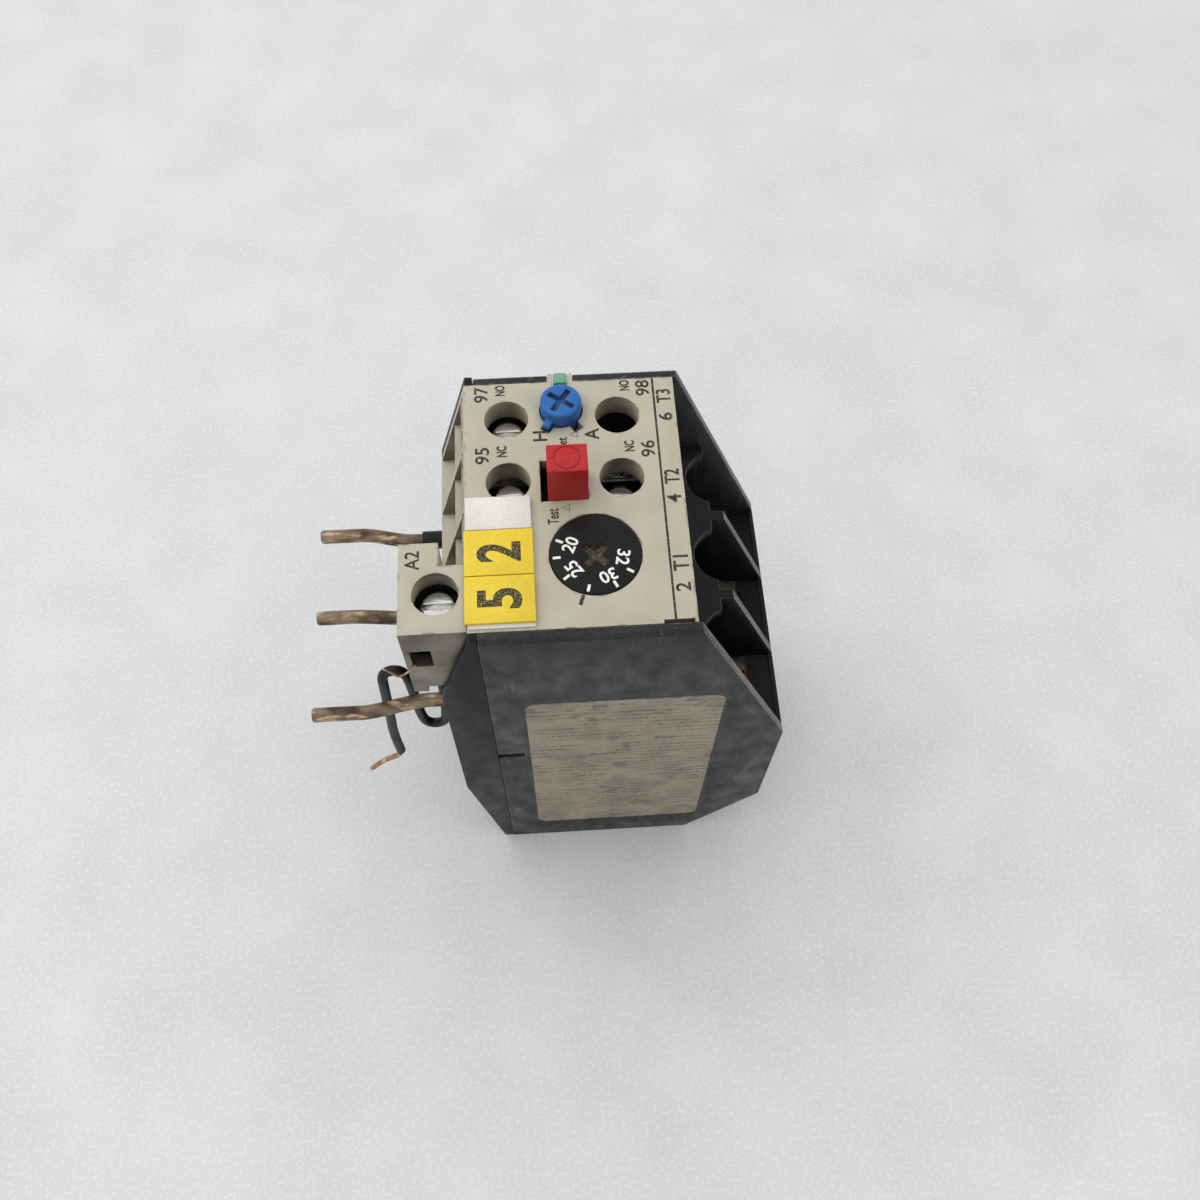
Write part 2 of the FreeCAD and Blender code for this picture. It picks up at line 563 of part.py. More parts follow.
def pointer_notch(body, angle):
    """Shallow notch beside the knob hole that the pointer drops into when pressed."""
    turn = math.radians(angle)
    across = V(-math.sin(turn), math.cos(turn), 0)
    along = V(math.cos(turn), math.sin(turn), 0)
    corners = []
    tip = "(pointer_reach + pointer_gap)"
    for reach, side in (("pointer_root", -1), (tip, -1), (tip, 1), ("pointer_root", 1)):
        width = f"{side} * (pointer_width / 2 + pointer_gap)"
        corners.append((f"reset_x + {reach} * {along.x:.6f} + {width} * {across.x:.6f}",
                        f"reset_y + {reach} * {along.y:.6f} + {width} * {across.y:.6f}"))
    pocket(body, "XY", f"{PANEL_UNDER} + 0.2", "height + 1", polygon(*corners))


def wire_windows(body):
    """Openings in the bays' back walls through which the auxiliary wires enter."""
    for y in ("far_row", "near_row"):
        pocket(body, "XZ", f"{y} - 3", f"{y} + 3", rectangle(
            "-step_x - 0.5", "-step_x + shell_wall + 0.5",
            "plate_level + plate_wall + 0.2", "step_top - shell_wall"))
        pocket(body, "XZ", f"{y} - 2.6", f"{y} + 2.6", rectangle(
            "-upper_step_x - 0.5", "-panel_left + 1.8", "step_top + 0.4",
            "upper_step_top - 0.6"))


def coil_terminal_block():
    """Beige block of the coil terminal, beside the wire bays."""
    body = new_body("coil_terminal_block")
    near = f"-{COVER_HALF} + block_side"
    inner_far = "(bay_end - seat_gap)"
    pad(body, "XY", "deck_level + touch_gap", "height", polygon(
        ("-block_left", near), ("-panel_left - seat_gap", near),
        ("-panel_left - seat_gap", inner_far), ("-block_notch", inner_far),
        ("-block_notch", "block_far"), ("-block_left", "block_far")))
    pad(body, "XY", "block_bottom", "deck_level + 1", rectangle(
        "-block_left", "-left_reach - seat_gap", near, "block_far"))
    pocket(body, "XY", "coil_plate_level", "coil_plate_level + coil_room", rectangle(
        "coil_screw_x - coil_plate_left - coil_room_wall",
        "coil_screw_x + coil_plate_right + coil_room_wall",
        "coil_screw_y - coil_room_near", "coil_screw_y + coil_room_far"))
    pocket(body, "XY", "coil_plate_level + coil_shaft_low", "height + 1",
           disc("coil_screw_x", "coil_screw_y", "coil_access"))
    pocket(body, "XY", "coil_plate_level - coil_shank_depth", "coil_plate_level + 0.5",
           disc("coil_screw_x", "coil_screw_y", "coil_shank_radius + shank_gap"))
    slot_low, slot_high = "(height - wire_slot_low)", "(height - wire_slot_high)"
    pocket(body, "XZ", f"{near} - 1", "coil_screw_y - wire_slot_depth", polygon(
        ("-block_left - 1", f"{slot_high} - groove_wall"),
        ("-wire_slot_left", f"{slot_high} - groove_wall"),
        ("-wire_slot_left", slot_low), ("-wire_slot_right", slot_low),
        ("-wire_slot_right", slot_high), ("-block_left - 1", slot_high)))
    pocket(body, "XZ", f"{near} - 1", "coil_screw_y - wire_slot_depth", rectangle(
        "-block_left + foot_slot_left", "-left_reach + foot_slot_right", "block_bottom - 1",
        "block_bottom + foot_slot_height"))
    pocket(body, "XY", "block_bottom - 1", "coil_plate_level - lead_bore_end",
           disc("lead_x", "lead_y", "lead_radius + lead_bore_gap"))
    return body


# ---------------------------------------------------------------- labels and markers

def rating_label():
    """Bare rating label in its recess on the near cover."""
    body = new_body("rating_label")
    seat = f"(-{HALF} + label_recess)"
    pad(body, "XZ", f"{seat} - label_wall", seat,
        rectangle("-label_left", "label_right", "label_low", "label_high"))
    finish_edges(body, "Fillet", "label_corner", lambda edge: parallel(edge, "Y"))
    return body


def marker_strip():
    """Carrier strip on the panel with one white and two yellow tags."""
    tag_low = "height + carrier_strip"
    tag_high = "height + carrier_strip + tag_wall"
    strip = new_body("marker_carrier")
    pad(strip, "XY", "height", tag_low, rectangle(
        "-tag_left + strip_trim", "-tag_right", "tag_near - carrier_foot",
        "tag_far - strip_trim"))
    white = new_body("white_tag")
    pad(white, "XY", tag_low, tag_high, rectangle(
        "-tag_left + white_trim", "-tag_right - tag_trim",
        "tag_far - tag_split + tag_gap / 2", "tag_far"))
    yellow = []
    for step in (0, 1):
        far = f"(tag_far - tag_split - {step} * tag_pitch)"
        tag = new_body(f"yellow_tag_{step}")
        pad(tag, "XY", tag_low, tag_high, rectangle(
            "-tag_left", "-tag_right + tag_trim", f"{far} - tag_pitch + tag_gap / 2",
            f"{far} - tag_gap / 2"))
        yellow.append(tag)
    group("yellow_tags", yellow)


# ---------------------------------------------------------------- screw terminals

def slotted_screw(label, head_radius, head_height, shank_radius, shank, slot):
    """Pan-head slotted screw along Z with the underside of its head at the origin."""
    body = new_body(label)
    pad(body, "XY", "0", head_height, disc("0", "0", head_radius))
    finish_edges(body, "Fillet", f"{head_height} * 0.35", lambda edge:
                 abs(edge.CenterOfMass.z - value(head_height)) < 0.01)
    pad(body, "XY", f"-({shank})", "0.1", disc("0", "0", shank_radius))
    pocket(body, "XY", f"{head_height} * 0.5", f"{head_height} + 1", rectangle(
        f"-{head_radius} - 1", f"{head_radius} + 1", f"-{slot} / 2", f"{slot} / 2"))
    return body


def clamp_washer(label, side_x, side_y, wall, hole):
    """Square clamp washer with its top at the origin."""
    body = new_body(label)
    pad(body, "XY", f"-{wall}", "0", rectangle(
        f"-{side_x} / 2", f"{side_x} / 2", f"-{side_y} / 2", f"{side_y} / 2"))
    pocket(body, "XY", f"-{wall} - 1", "1", disc("0", "0", hole))
    return body


AUXILIARY = {
    "95": ("left_column", "near_row", "lift_95"),
    "96": ("right_column", "near_row", "lift_96"),
    "97": ("left_column", "far_row", "lift_97"),
    "98": ("right_column", "far_row", "lift_98"),
}


def auxiliary_terminals():
    """Fixed contact rail, screw and clamp washer of each auxiliary terminal."""
    for number, (x, y, lift) in AUXILIARY.items():
        rail = new_body(f"contact_rail_{number}")
        low, high = f"{x} - rail_end", "carrier_x - bridge_half + rail_contact"
        if x == "right_column":
            low, high = "carrier_x + bridge_half - rail_contact", f"{x} + rail_end"
        pad(rail, "XY", "plate_level", "plate_level + plate_wall", rectangle(
            low, high, f"{y} - plate_width / 2", f"{y} + plate_width / 2"))
        pocket(rail, "XY", "plate_level - 1", "plate_level + plate_wall + 1",
               disc(x, y, "aux_shank_radius + running_gap"))
        top = f"plate_level + plate_wall + aux_washer_wall + {lift}"
        screw = slotted_screw(f"terminal_screw_{number}", "aux_head_radius",
                              "aux_head_height", "aux_shank_radius",
                              "aux_washer_wall + aux_shank", "aux_slot")
        place(screw, x, y, top)
        washer = clamp_washer(f"clamp_washer_{number}", "aux_washer", "(aux_washer - aux_washer_trim)",
                              "aux_washer_wall", "aux_shank_radius + press_gap")
        place(washer, x, y, top)


def coil_terminal():
    """Screw, clamp washer and plate in the coil terminal block."""
    plate = new_body("coil_terminal_plate")
    pad(plate, "XY", "coil_plate_level", "coil_plate_level + coil_plate_wall", rectangle(
        "coil_screw_x - coil_plate_left", "coil_screw_x + coil_plate_right",
        "coil_screw_y - coil_plate_half", "coil_screw_y + coil_plate_half"))
    pocket(plate, "XY", "coil_plate_level - 1", "coil_plate_level + 2",
           disc("coil_screw_x", "coil_screw_y", "coil_shank_radius + running_gap"))
    top = "coil_plate_level + coil_plate_wall + coil_washer_wall + coil_lift"
    screw = slotted_screw("coil_screw", "coil_head_radius", "coil_head_height",
                          "coil_shank_radius", "coil_lift + coil_shank", "coil_slot")
    place(screw, "coil_screw_x", "coil_screw_y", top)
    washer = clamp_washer("coil_clamp_washer", "coil_washer_x", "coil_washer_y",
                          "coil_washer_wall", "coil_shank_radius + press_gap")
    place(washer, "coil_screw_x", "coil_screw_y", top)


def main_terminals():
    """Main screws with their square washers, and the load bars that they clamp on."""
    bars = []
    for number, step in zip("123", (-1, 0, 1)):
        top = "main_seat + load_bar_wall + main_washer_wall + main_lift"
        screw = slotted_screw(f"main_screw_{number}", "main_head_radius", "main_head_height",
                              "main_shank_radius", "main_lift + main_shank", "main_slot")
        place(screw, "main_screw_x", pole(step), top)
        washer = clamp_washer(f"main_washer_{number}", "main_washer", "main_washer",
                              "main_washer_wall", "main_shank_radius + press_gap")
        place(washer, "main_screw_x", pole(step), top)
        bars.append(load_bar(number, pole(step)))
    group("load_bars", bars)


def load_bar(number, middle):
    """Copper bar from a heater's lower end through the partition to the main screw."""
    bar = new_body(f"load_bar_{number}")
    half = "load_bar_width / 2"
    low, high = "main_seat", "main_seat + load_bar_wall"
    start = "(strip_x + coil_half_x)"
    pad(bar, "XZ", f"{middle} - {half}", f"{middle} + {half}", polygon(
        (start, "coil_low"), (f"{start} + load_bar_wall", "coil_low"),
        (f"{start} + load_bar_wall", low), ("main_screw_x + load_bar_end", low),
        ("main_screw_x + load_bar_end", high), (start, high)))
    pocket(bar, "XY", f"{low} - 1", f"{high} + 1",
           disc("main_screw_x", middle, "main_shank_radius + running_gap"))
    return bar


# ---------------------------------------------------------------- thermal mechanism

def bimetal_strips():
    """One bimetal strip for each pole, standing in its foot block."""
    for number, step in zip("123", (-1, 0, 1)):
        strip = new_body(f"bimetal_{number}")
        pad(strip, "YZ", "strip_x - strip_width / 2", "strip_x + strip_width / 2", rectangle(
            f"{pole(step)} - strip_wall / 2", f"{pole(step)} + strip_wall / 2",
            "strip_foot", "strip_top"))


def heater_windings():
    """Ribbon heaters: flat turns round each bimetal, joined one to the next."""
    windings = []
    last = "(coil_low + (coil_turns - 1) * coil_pitch)"
    for step in (-1, 0, 1):
        winding = new_body(f"heater_{step + 2}")
        middle = pole(step)
        outside = ring_side(middle, "coil_half_x", "coil_half_y")
        inside = ring_side(middle, "(coil_half_x - coil_wall)", "(coil_half_y - coil_wall)")
        turn = pad(winding, "XY", "coil_low", "coil_low + ribbon", outside, inside)
        link = pad(winding, "XY", "coil_low + ribbon - 0.2", "coil_low + coil_pitch + 0.2",
                   rectangle("strip_x - coil_link", "strip_x + coil_link",
                             f"{middle} + coil_half_y - coil_wall", f"{middle} + coil_half_y"))
        repeat_up(winding, [turn, link], "coil_pitch", "coil_turns - 1")
        pad(winding, "XY", last, f"{last} + ribbon", outside, inside)
        pad(winding, "XY", last, f"{last} + ribbon", rectangle(
            "strip_x - coil_half_x - coil_lug", "strip_x - coil_half_x + 0.2",
            f"{middle} - coil_half_y", f"{middle} + coil_half_y"))
        windings.append(winding)
    group("heater_windings", windings)


def ring_side(middle, half_x, half_y):
    """Rectangle about a bimetal."""
    return rectangle(f"strip_x - {half_x}", f"strip_x + {half_x}",
                     f"{middle} - {half_y}", f"{middle} + {half_y}")


def repeat_up(body, features, pitch, copies):
    """Repeat features along +Z."""
    pattern = body.newObject("PartDesign::LinearPattern", "Turns")
    pattern.Originals = features
    pattern.Direction = ([i for i in body.Origin.OriginFeatures if i.Role == "Z_Axis"][0], [""])
    pattern.setExpression("Length", bound(f"({pitch}) * ({copies} - 1)"))
    pattern.setExpression("Occurrences", bound(copies))
    body.Tip = pattern
    doc.recompute()


def trip_slide(label, middle, side, post):
    """Insulating slide with a finger beside each bimetal; side is where the strips lie."""
    body = new_body(label)
    half = "slide_width / 2"
    top = "slide_level + touch_gap + slide_height"
    pad(body, "XY", "slide_level + touch_gap", top, rectangle(
        f"{middle} - {half}", f"{middle} + {half}", "-slide_reach", "slide_reach"))
    for step in (-1, 0, 1):
        face = f"({pole(step)} - {side} * (strip_wall / 2 + finger_gap))"
        far = f"({face} - {side} * finger)"
        low, high = (far, face) if side > 0 else (face, far)
        edges = (f"{middle} - {half} + finger_step", "strip_x - finger_step")
        if side < 0:
            edges = ("strip_x + finger_step", f"{middle} + {half} - finger_step")
        pad(body, "XY", "slide_level + touch_gap", top, rectangle(*edges, low, high))
    if post:
        pad(body, "XY", f"{top} - 0.2", "plate_level + post_rise", rectangle(
            f"{middle} - post_half", f"{middle} + post_half",
            "dial_y + post_near", "dial_y + post_far"))
    return body


def mechanism_tray():
    """Moulded tray on the deck that carries the rails and guides the slides from above."""
    body = new_body("mechanism_tray")
    side = f"({COVER_HALF} - shell_wall - tray_side)"
    pad(body, "XY", "deck_level", "tray_top", rectangle(
        "-panel_left + shell_wall + tray_gap", "partition_x - tray_end", f"-{side}", side))
    hold = "slide_level + touch_gap + slide_height + touch_gap"
    pads = []
    for middle in ("trip_slide_x", "differential_slide_x"):
        for side in (-1, 1):
            pads.append(rectangle(f"{middle} - hold_half", f"{middle} + hold_half",
                                  f"{side} * pole_pitch / 2 + hold_near",
                                  f"{side} * pole_pitch / 2 + hold_far"))
    for shape in pads:
        pad(body, "XY", hold, "deck_level + 0.2", shape)
    outer, inner = "rail_pad_outer", "rail_pad_inner"
    for x, left, right in (("left_column", outer, inner), ("right_column", inner, outer)):
        for y in ("far_row", "near_row"):
            pad(body, "XY", "tray_top - 0.2", "plate_level", rectangle(
                f"{x} - {left}", f"{x} + {right}",
                f"{y} - rail_pad_half", f"{y} + rail_pad_half"))
            pocket(body, "XY", "deck_level - 1", "plate_level + 1",
                   disc(x, y, "aux_shank_radius + shank_gap"))
    pocket(body, "XY", "deck_level - 1", "tray_top + 1", rectangle(
        "trip_slide_x - post_slot_half", "trip_slide_x + post_slot_half",
        "dial_y + post_near - slide_travel - slide_stop", "dial_y + post_far + shank_gap"))
    return body


def levers():
    """Compensation lever, range lever, trip lever and the pins that they turn on."""
    compensation_lever()
    range_lever()
    trip_lever()
    pins = []
    for name, at, low, high in (
            ("compensation_pin", ("compensation_x", "compensation_y"), "tray_top",
             "tray_top + compensation_pin_high"),
            ("range_pin", ("range_x", "range_near + range_wall"), "cam_level - range_pin_low",
             PANEL_UNDER)):
        pin = new_body(name)
        pad(pin, "XY", low, high, disc(*at, "lever_pin_radius"))
        pins.append(pin)
    axle = new_body("trip_axle")
    pad(axle, "YZ", "carrier_x - axle_half", "carrier_x + axle_half",
        disc("axle_y", "axle_level", "axle_radius"))
    pins.append(axle)
    group("lever_pins", pins)


def compensation_lever():
    """Hub on the tray with an arm that the trip slide's post pushes."""
    body = new_body("compensation_lever")
    at = ("compensation_x", "compensation_y")
    pad(body, "XY", "tray_top + compensation_low", "tray_top + compensation_high",
        disc(*at, "compensation_radius"))
    pad(body, "XY", "tray_top + arm_low", "tray_top + arm_high", rectangle(
        "compensation_x", "arm_end", "dial_y - arm_near", "dial_y - arm_far"))
    pocket(body, "XY", "tray_top", "tray_top + compensation_high + 1",
           disc(*at, "lever_pin_radius + running_gap"))


def range_lever():
    """Flat lever under the panel that follows the dial's cam."""
    body = new_body("range_lever")
    low = "(cam_level + range_low)"
    pad(body, "XY", low, f"{low} + range_wall", polygon(
        ("range_x - range_half", "range_near"), ("range_x + range_half", "range_near"),
        ("range_x + 2.6 * range_half", "range_near + 1.35 * range_half"),
        ("range_end", "dial_y - 2.95 * range_half"), ("range_end", "dial_y - 2.35 * range_half"),
        ("range_x + 2 * range_half", "range_near + 2.3 * range_half"),
        ("range_x - range_half", "range_near + 1.5 * range_half")))
    pocket(body, "XY", f"{low} - 1", f"{low} + range_wall + 1",
           disc("range_x", "range_near + range_wall", "lever_pin_radius + running_gap"))


def trip_lever():
    """Rocker on the axle whose long arm lifts the contact carrier."""
    body = new_body("trip_lever")
    r = "axle_radius"
    corners = [(f"axle_y + {along} * {r}", f"axle_level + {up} * {r}") for along, up in (
        (-2.53, -0.53), (1.87, -2.0))]
    corners += [("trip_tip", f"axle_level + 0.93 * {r}"), ("trip_tip", f"axle_level + 2.53 * {r}")]
    corners += [(f"axle_y + {along} * {r}", f"axle_level + {up} * {r}") for along, up in (
        (2.13, 1.2), (0.8, 7.73), (-1.07, 7.73), (-1.6, 1.87))]
    pad(body, "YZ", "carrier_x - trip_half", "carrier_x + trip_half", polygon(*corners))
    pocket(body, "YZ", "carrier_x - trip_half - 1", "carrier_x + trip_half + 1",
           disc("axle_y", "axle_level", "axle_radius + running_gap"))


# ---------------------------------------------------------------- contacts and controls

def contact_carrier():
    """Moulded carrier that lifts the two contact bridges when the relay trips."""
    body = new_body("contact_carrier")
    half = "carrier_width / 2"
    nc_low = "(plate_level + plate_wall + touch_gap)"
    bar = f"({nc_low} + bridge_wall + seat_gap)"
    no_low = "(plate_level - contact_travel - bridge_wall - touch_gap)"
    far = f"({COVER_HALF} - shell_wall - carrier_gap)"
    pad(body, "XY", bar, f"{bar} + carrier_wall", rectangle(
        f"carrier_x - {half}", f"carrier_x + {half}", "carrier_near", far))
    pad(body, "XY", bar, f"{bar} + carrier_wall", rectangle(
        "carrier_x - indicator_width / 2", "carrier_x + indicator_width / 2",
        f"{far} - 0.1", f"{COVER_HALF} - indicator_inset"))
    for y, low in (("near_row", nc_low), ("far_row", no_low)):
        pad(body, "XY", f"{low} - stirrup_foot", f"{bar} + 0.2", rectangle(
            f"carrier_x - {half} + stirrup", f"carrier_x + {half} - stirrup",
            f"{y} - bridge_width / 2 - stirrup", f"{y} + bridge_width / 2 + stirrup"))
        pocket(body, "XY", low, f"{low} + bridge_wall + seat_gap", rectangle(
            f"carrier_x - {half} - 1", f"carrier_x + {half} + 1",
            f"{y} - bridge_width / 2 - touch_gap", f"{y} + bridge_width / 2 + touch_gap"))
    for label, y, low in (("nc_contact_bridge", "near_row", nc_low),
                          ("no_contact_bridge", "far_row", no_low)):
        bridge = new_body(label)
        pad(bridge, "XY", low, f"{low} + bridge_wall", rectangle(
            "carrier_x - bridge_half", "carrier_x + bridge_half",
            f"{y} - bridge_width / 2", f"{y} + bridge_width / 2"))
    indicator = new_body("trip_indicator")
    wide = "indicator_width / 2"
    face = f"({COVER_HALF} - indicator_inset)"
    pad(indicator, "XY", f"{bar} + seat_gap", "indicator_top", rectangle(
        f"carrier_x - {wide}", f"carrier_x + {wide}", face, f"{COVER_HALF} - touch_gap"))
    pad(indicator, "XY", "height - indicator_step", "indicator_top", rectangle(
        f"carrier_x - {wide}", f"carrier_x + {wide}", face, f"{HALF} - indicator_edge"))
    finish_edges(indicator, "Fillet", "indicator_edge", lambda edge: parallel(edge, "Y")
                 and abs(edge.CenterOfMass.z - value("indicator_top")) < 0.01)


def reset_controls():
    """Plunger with its spring, and the selector knob that turns on the plunger's pin."""
    plunger = new_body("reset_plunger")
    at = ("reset_x", "reset_y")
    flange_top = f"({PANEL_UNDER} - seat_gap)"
    pad(plunger, "XY", f"{flange_top} - flange_wall", flange_top, disc(*at, "plunger_flange"))
    pad(plunger, "XY", "shelf_level - shelf_wall - stem_end", flange_top,
        disc(*at, "stem_radius"))
    pad(plunger, "XY", f"{flange_top} - 0.5", "knob_top - pin_cover - seat_gap",
        disc(*at, "knob_pin"))
    knob = new_body("reset_knob")
    low = f"({flange_top} + touch_gap)"
    pad(knob, "XY", low, "knob_top", disc("0", "0", "knob_radius"))
    finish_edges(knob, "Chamfer", "knob_chamfer", lambda edge:
                 abs(edge.CenterOfMass.z - value("knob_top")) < 0.01)
    pad(knob, "XY", "height + pointer_low", "height + pointer_high", rectangle(
        "knob_radius - 1", "pointer_reach", "-pointer_width / 2", "pointer_width / 2"))
    pocket(knob, "XY", f"{low} - 1", "knob_top - pin_cover",
           disc("0", "0", "knob_pin + running_gap"))
    narrow, long = "knob_slot_half", "knob_slot_reach"
    for across, along in ((narrow, long), (long, narrow)):
        pocket(knob, "XY", "knob_top - knob_slot_depth", "knob_top + 1",
               rectangle(f"-{across}", across, f"-{along}", along))
    place(knob, *at)
    knob.Placement.Rotation = FreeCAD.Rotation(V(0, 0, 1), -125)
    spring("reset_spring", value("reset_x"), value("reset_y"), value("shelf_level"),
           value(f"{flange_top} - flange_wall"), value("reset_coil_radius"))


def test_button():
    """Red push button, its flange under the panel and its return spring."""
    body = new_body("test_button")
    x, y, wide, deep = "button_x", "button_y", "button_width / 2", "button_depth / 2"
    flange_top = f"({PANEL_UNDER} - seat_gap)"
    flange_low = f"({flange_top} - button_flange)"
    pad(body, "XY", flange_low, "button_top",
        rectangle(f"{x} - {wide}", f"{x} + {wide}", f"{y} - {deep}", f"{y} + {deep}"))
    finish_edges(body, "Fillet", "button_edge", lambda edge:
                 abs(edge.CenterOfMass.z - value("button_top")) < 0.01)
    pad(body, "XY", flange_low, flange_top, rectangle(
        f"{x} - {wide}", f"{x} + {wide}", "window_near - flange_near",
        "window_far + flange_far"))
    pad(body, "XY", "shelf_level - test_post_end", f"{flange_low} + 0.1",
        square_about(x, y, "post_side"))
    pocket(body, "XY", "button_top - ring_depth", "button_top + 1", disc(x, y, "ring_outside"))
    pad(body, "XY", "button_top - ring_depth - 0.05", "button_top - button_dish",
        disc(x, y, "ring_inside"))
    spring("test_spring", value(x), value(y), value("shelf_level"), value(flange_low),
           value("test_coil_radius"))


def spring(label, x, y, low, high, radius, turns=3):
    """Helical return spring standing on its shelf."""
    gap, wire = value("touch_gap"), value("spring_wire")
    tall = high - low - 2 * (wire + gap)
    path = Part.makeHelix(tall / turns, tall, radius)
    section = Part.Wire(Part.makeCircle(wire, V(radius, 0, 0), V(0, 1, 0)))
    shape = Part.Wire(path.Edges).makePipeShell([section], True, True)
    coil = doc.addObject("Part::Feature", "Spring_" + label)
    coil.Shape = shape
    coil.Placement = FreeCAD.Placement(V(x, y, low + wire + gap), FreeCAD.Rotation())
    return add_part(coil, label)


def setting_dial():
    """Current setting dial, flush in the panel, with its shaft and the cam on it."""
    dial = new_body("setting_dial")
    at = ("dial_x", "dial_y")
    pad(dial, "XY", "height - dial_wall", "height", disc(*at, "dial_radius"))
    pad(dial, "XY", "cam_level", "height - 0.5", disc(*at, "dial_shaft"))
    for side in (-1, 1):
        pocket(dial, "XY", "height - dial_slot_depth", "height + 1", polygon(*[
            (f"dial_x + {along} * dial_slot_reach - {across} * dial_slot_width",
             f"dial_y + {side} * ({along} * dial_slot_reach + {across} * dial_slot_width)")
            for along, across in ((-1, -1), (1, -1), (1, 1), (-1, 1))]))
    cam = new_body("setting_cam")
    pad(cam, "XY", "cam_level", "cam_level + cam_wall",
        disc("dial_x + cam_throw", "dial_y", "cam_radius"))
    pocket(cam, "XY", "cam_level - 1", "cam_level + cam_wall + 1",
           disc(*at, "dial_shaft + press_gap"))


# ---------------------------------------------------------------- pins, lead and strand

def rounded_path(points, share=0.45):
    """Straight runs joined by tangent arcs, as wide as the runs allow; returns radii too."""
    edges, radii = [], []
    start = points[0]
    for before, corner, after in zip(points, points[1:], points[2:]):
        back, ahead = before - corner, after - corner
        half_turn = (math.pi - back.getAngle(ahead)) / 2
        cut = share * min(back.Length, ahead.Length)
        radius = cut / math.tan(half_turn)
        radii.append(radius)
        entry = corner + back.normalize() * cut
        leave = corner + ahead.normalize() * cut
        inward = (entry + leave) * 0.5 - corner
        sagitta = radius / math.cos(half_turn) - radius
        middle = corner + inward.normalize() * sagitta
        edges.append(Part.LineSegment(start, entry).toShape())
        edges.append(Part.Arc(entry, middle, leave).toShape())
        start = leave
    edges.append(Part.LineSegment(start, points[-1]).toShape())
    return Part.Wire(edges), radii


def bent_rod(label, points, radius, share=0.45):
    """Round rod or wire along a rounded path."""
    path, radii = rounded_path(points, share)
    direction = (points[1] - points[0]).normalize()
    section = Part.Wire(Part.makeCircle(radius, points[0], direction))
    shape = path.makePipeShell([section], True, False)
    expected = math.pi * radius ** 2 * path.Length
    print(f"{label}: length {path.Length:.1f}, tightest bend {min(radii):.2f},"
          f" volume share {shape.Volume / expected:.4f}")
    rod = doc.addObject("Part::Feature", "Rod_" + label)
    rod.Shape = shape
    rod.Placement = FreeCAD.Placement()
    return add_part(rod, label)


def contact_pins():
    """Copper pins that plug into the contactor; the outer two are bent a little outwards."""
    level, root, tip = value("pin_level"), value("pin_root"), -value("pin_tip")
    inner = value("strip_x - coil_half_x - pin_root_gap")
    radius = value("pin_radius")
    routes = {
        "contact_pin_1": ((inner, -root), (-35.5, -root), (-44.5, -root - 2), (tip, -root - 2)),
        "contact_pin_2": ((inner, 0), (-38.0, 0), (-47.5, 1), (tip, 1)),
        "contact_pin_3": ((inner, root), (-38.5, root), (-46.0, root + 2), (tip, root + 2)),
    }
    for label, route in routes.items():
        bent_rod(label, [V(x, y, level) for x, y in route], radius, 0.3)
    sleeve = new_body("pin_sleeve")
    outside, inside = "pin_radius + slide_gap + sleeve_wall", "pin_radius + slide_gap"
    pad(sleeve, "YZ", "-left_reach - sleeve_length", "-left_reach - touch_gap",
        disc("pin_root", "pin_level", outside))
    pocket(sleeve, "YZ", "-left_reach - sleeve_length - 1", "-left_reach + 1",
           disc("pin_root", "pin_level", inside))


# offsets from the lead's hole in the coil block, along X and Y and up from its root
LEAD_ROUTE = (
    (0.0, 0.0, 0.0), (0.1, -0.3, -14.0), (-0.1, -0.5, -27.0), (-0.7, -0.6, -35.5),
    (-1.5, -0.6, -42.8), (-5.8, -0.4, -43.2), (-6.5, -0.2, -35.0), (-6.4, -0.1, -24.0),
    (-6.9, -0.2, -14.6), (-11.4, -0.4, -15.0), (-11.9, -0.5, -24.0), (-12.8, -0.6, -38.0),
    (-13.6, -0.6, -49.0), (-13.4, -0.5, -58.8),
)
CONDUCTOR_ROUTE = (
    (-13.4, -0.5, -58.8), (-13.37, -0.48, -60.4), (-15.0, -0.4, -62.8), (-18.3, -0.2, -65.6),
    (-22.0, -0.3, -70.8),
)
# offsets from the coil screw, along X and Y and up from its plate
STRAND_ROUTE = (
    (-4.2, -6.5, 1.85), (-5.2, -7.9, 2.2), (-6.7, -8.5, 1.0), (-8.0, -8.6, 0.1),
    (-8.8, -8.6, 1.9), (-10.0, -8.7, 4.1),
)


def coil_lead():
    """Insulated coil lead with its bare copper end, and a stray strand left in the terminal."""
    hole = V(value("lead_x"), value("lead_y"), value("block_bottom + lead_top"))
    screw = V(value("coil_screw_x"), value("coil_screw_y"), value("coil_plate_level"))
    for label, route, start, radius in (
            ("coil_lead", LEAD_ROUTE, hole, "lead_radius"),
            ("lead_conductor", CONDUCTOR_ROUTE, hole, "conductor_radius"),
            ("copper_strand", STRAND_ROUTE, screw, "strand_radius")):
        bent_rod(label, [start + V(*point) for point in route], value(radius))


# ---------------------------------------------------------------- build and export

def check_and_export():
    """Refuse any failed object, then write each sub-part's STEP file."""
    doc.recompute()
    for item in doc.Objects:
        if "Invalid" in item.State or "Error" in item.State:
            raise ValueError(f"{item.Label} failed: {item.State}")
    for item in PARTS:
        if item.Shape.isNull() or not item.Shape.isValid():
            raise ValueError(f"{item.Label} has no valid shape")
    os.makedirs("parts", exist_ok=True)
    for item in PARTS:
        item.Shape.exportStep(os.path.join("parts", item.Label + ".step"))
        print(f"{item.Label}: {len(item.Shape.Solids)} solid(s), {item.Shape.Volume:.1f} mm3")


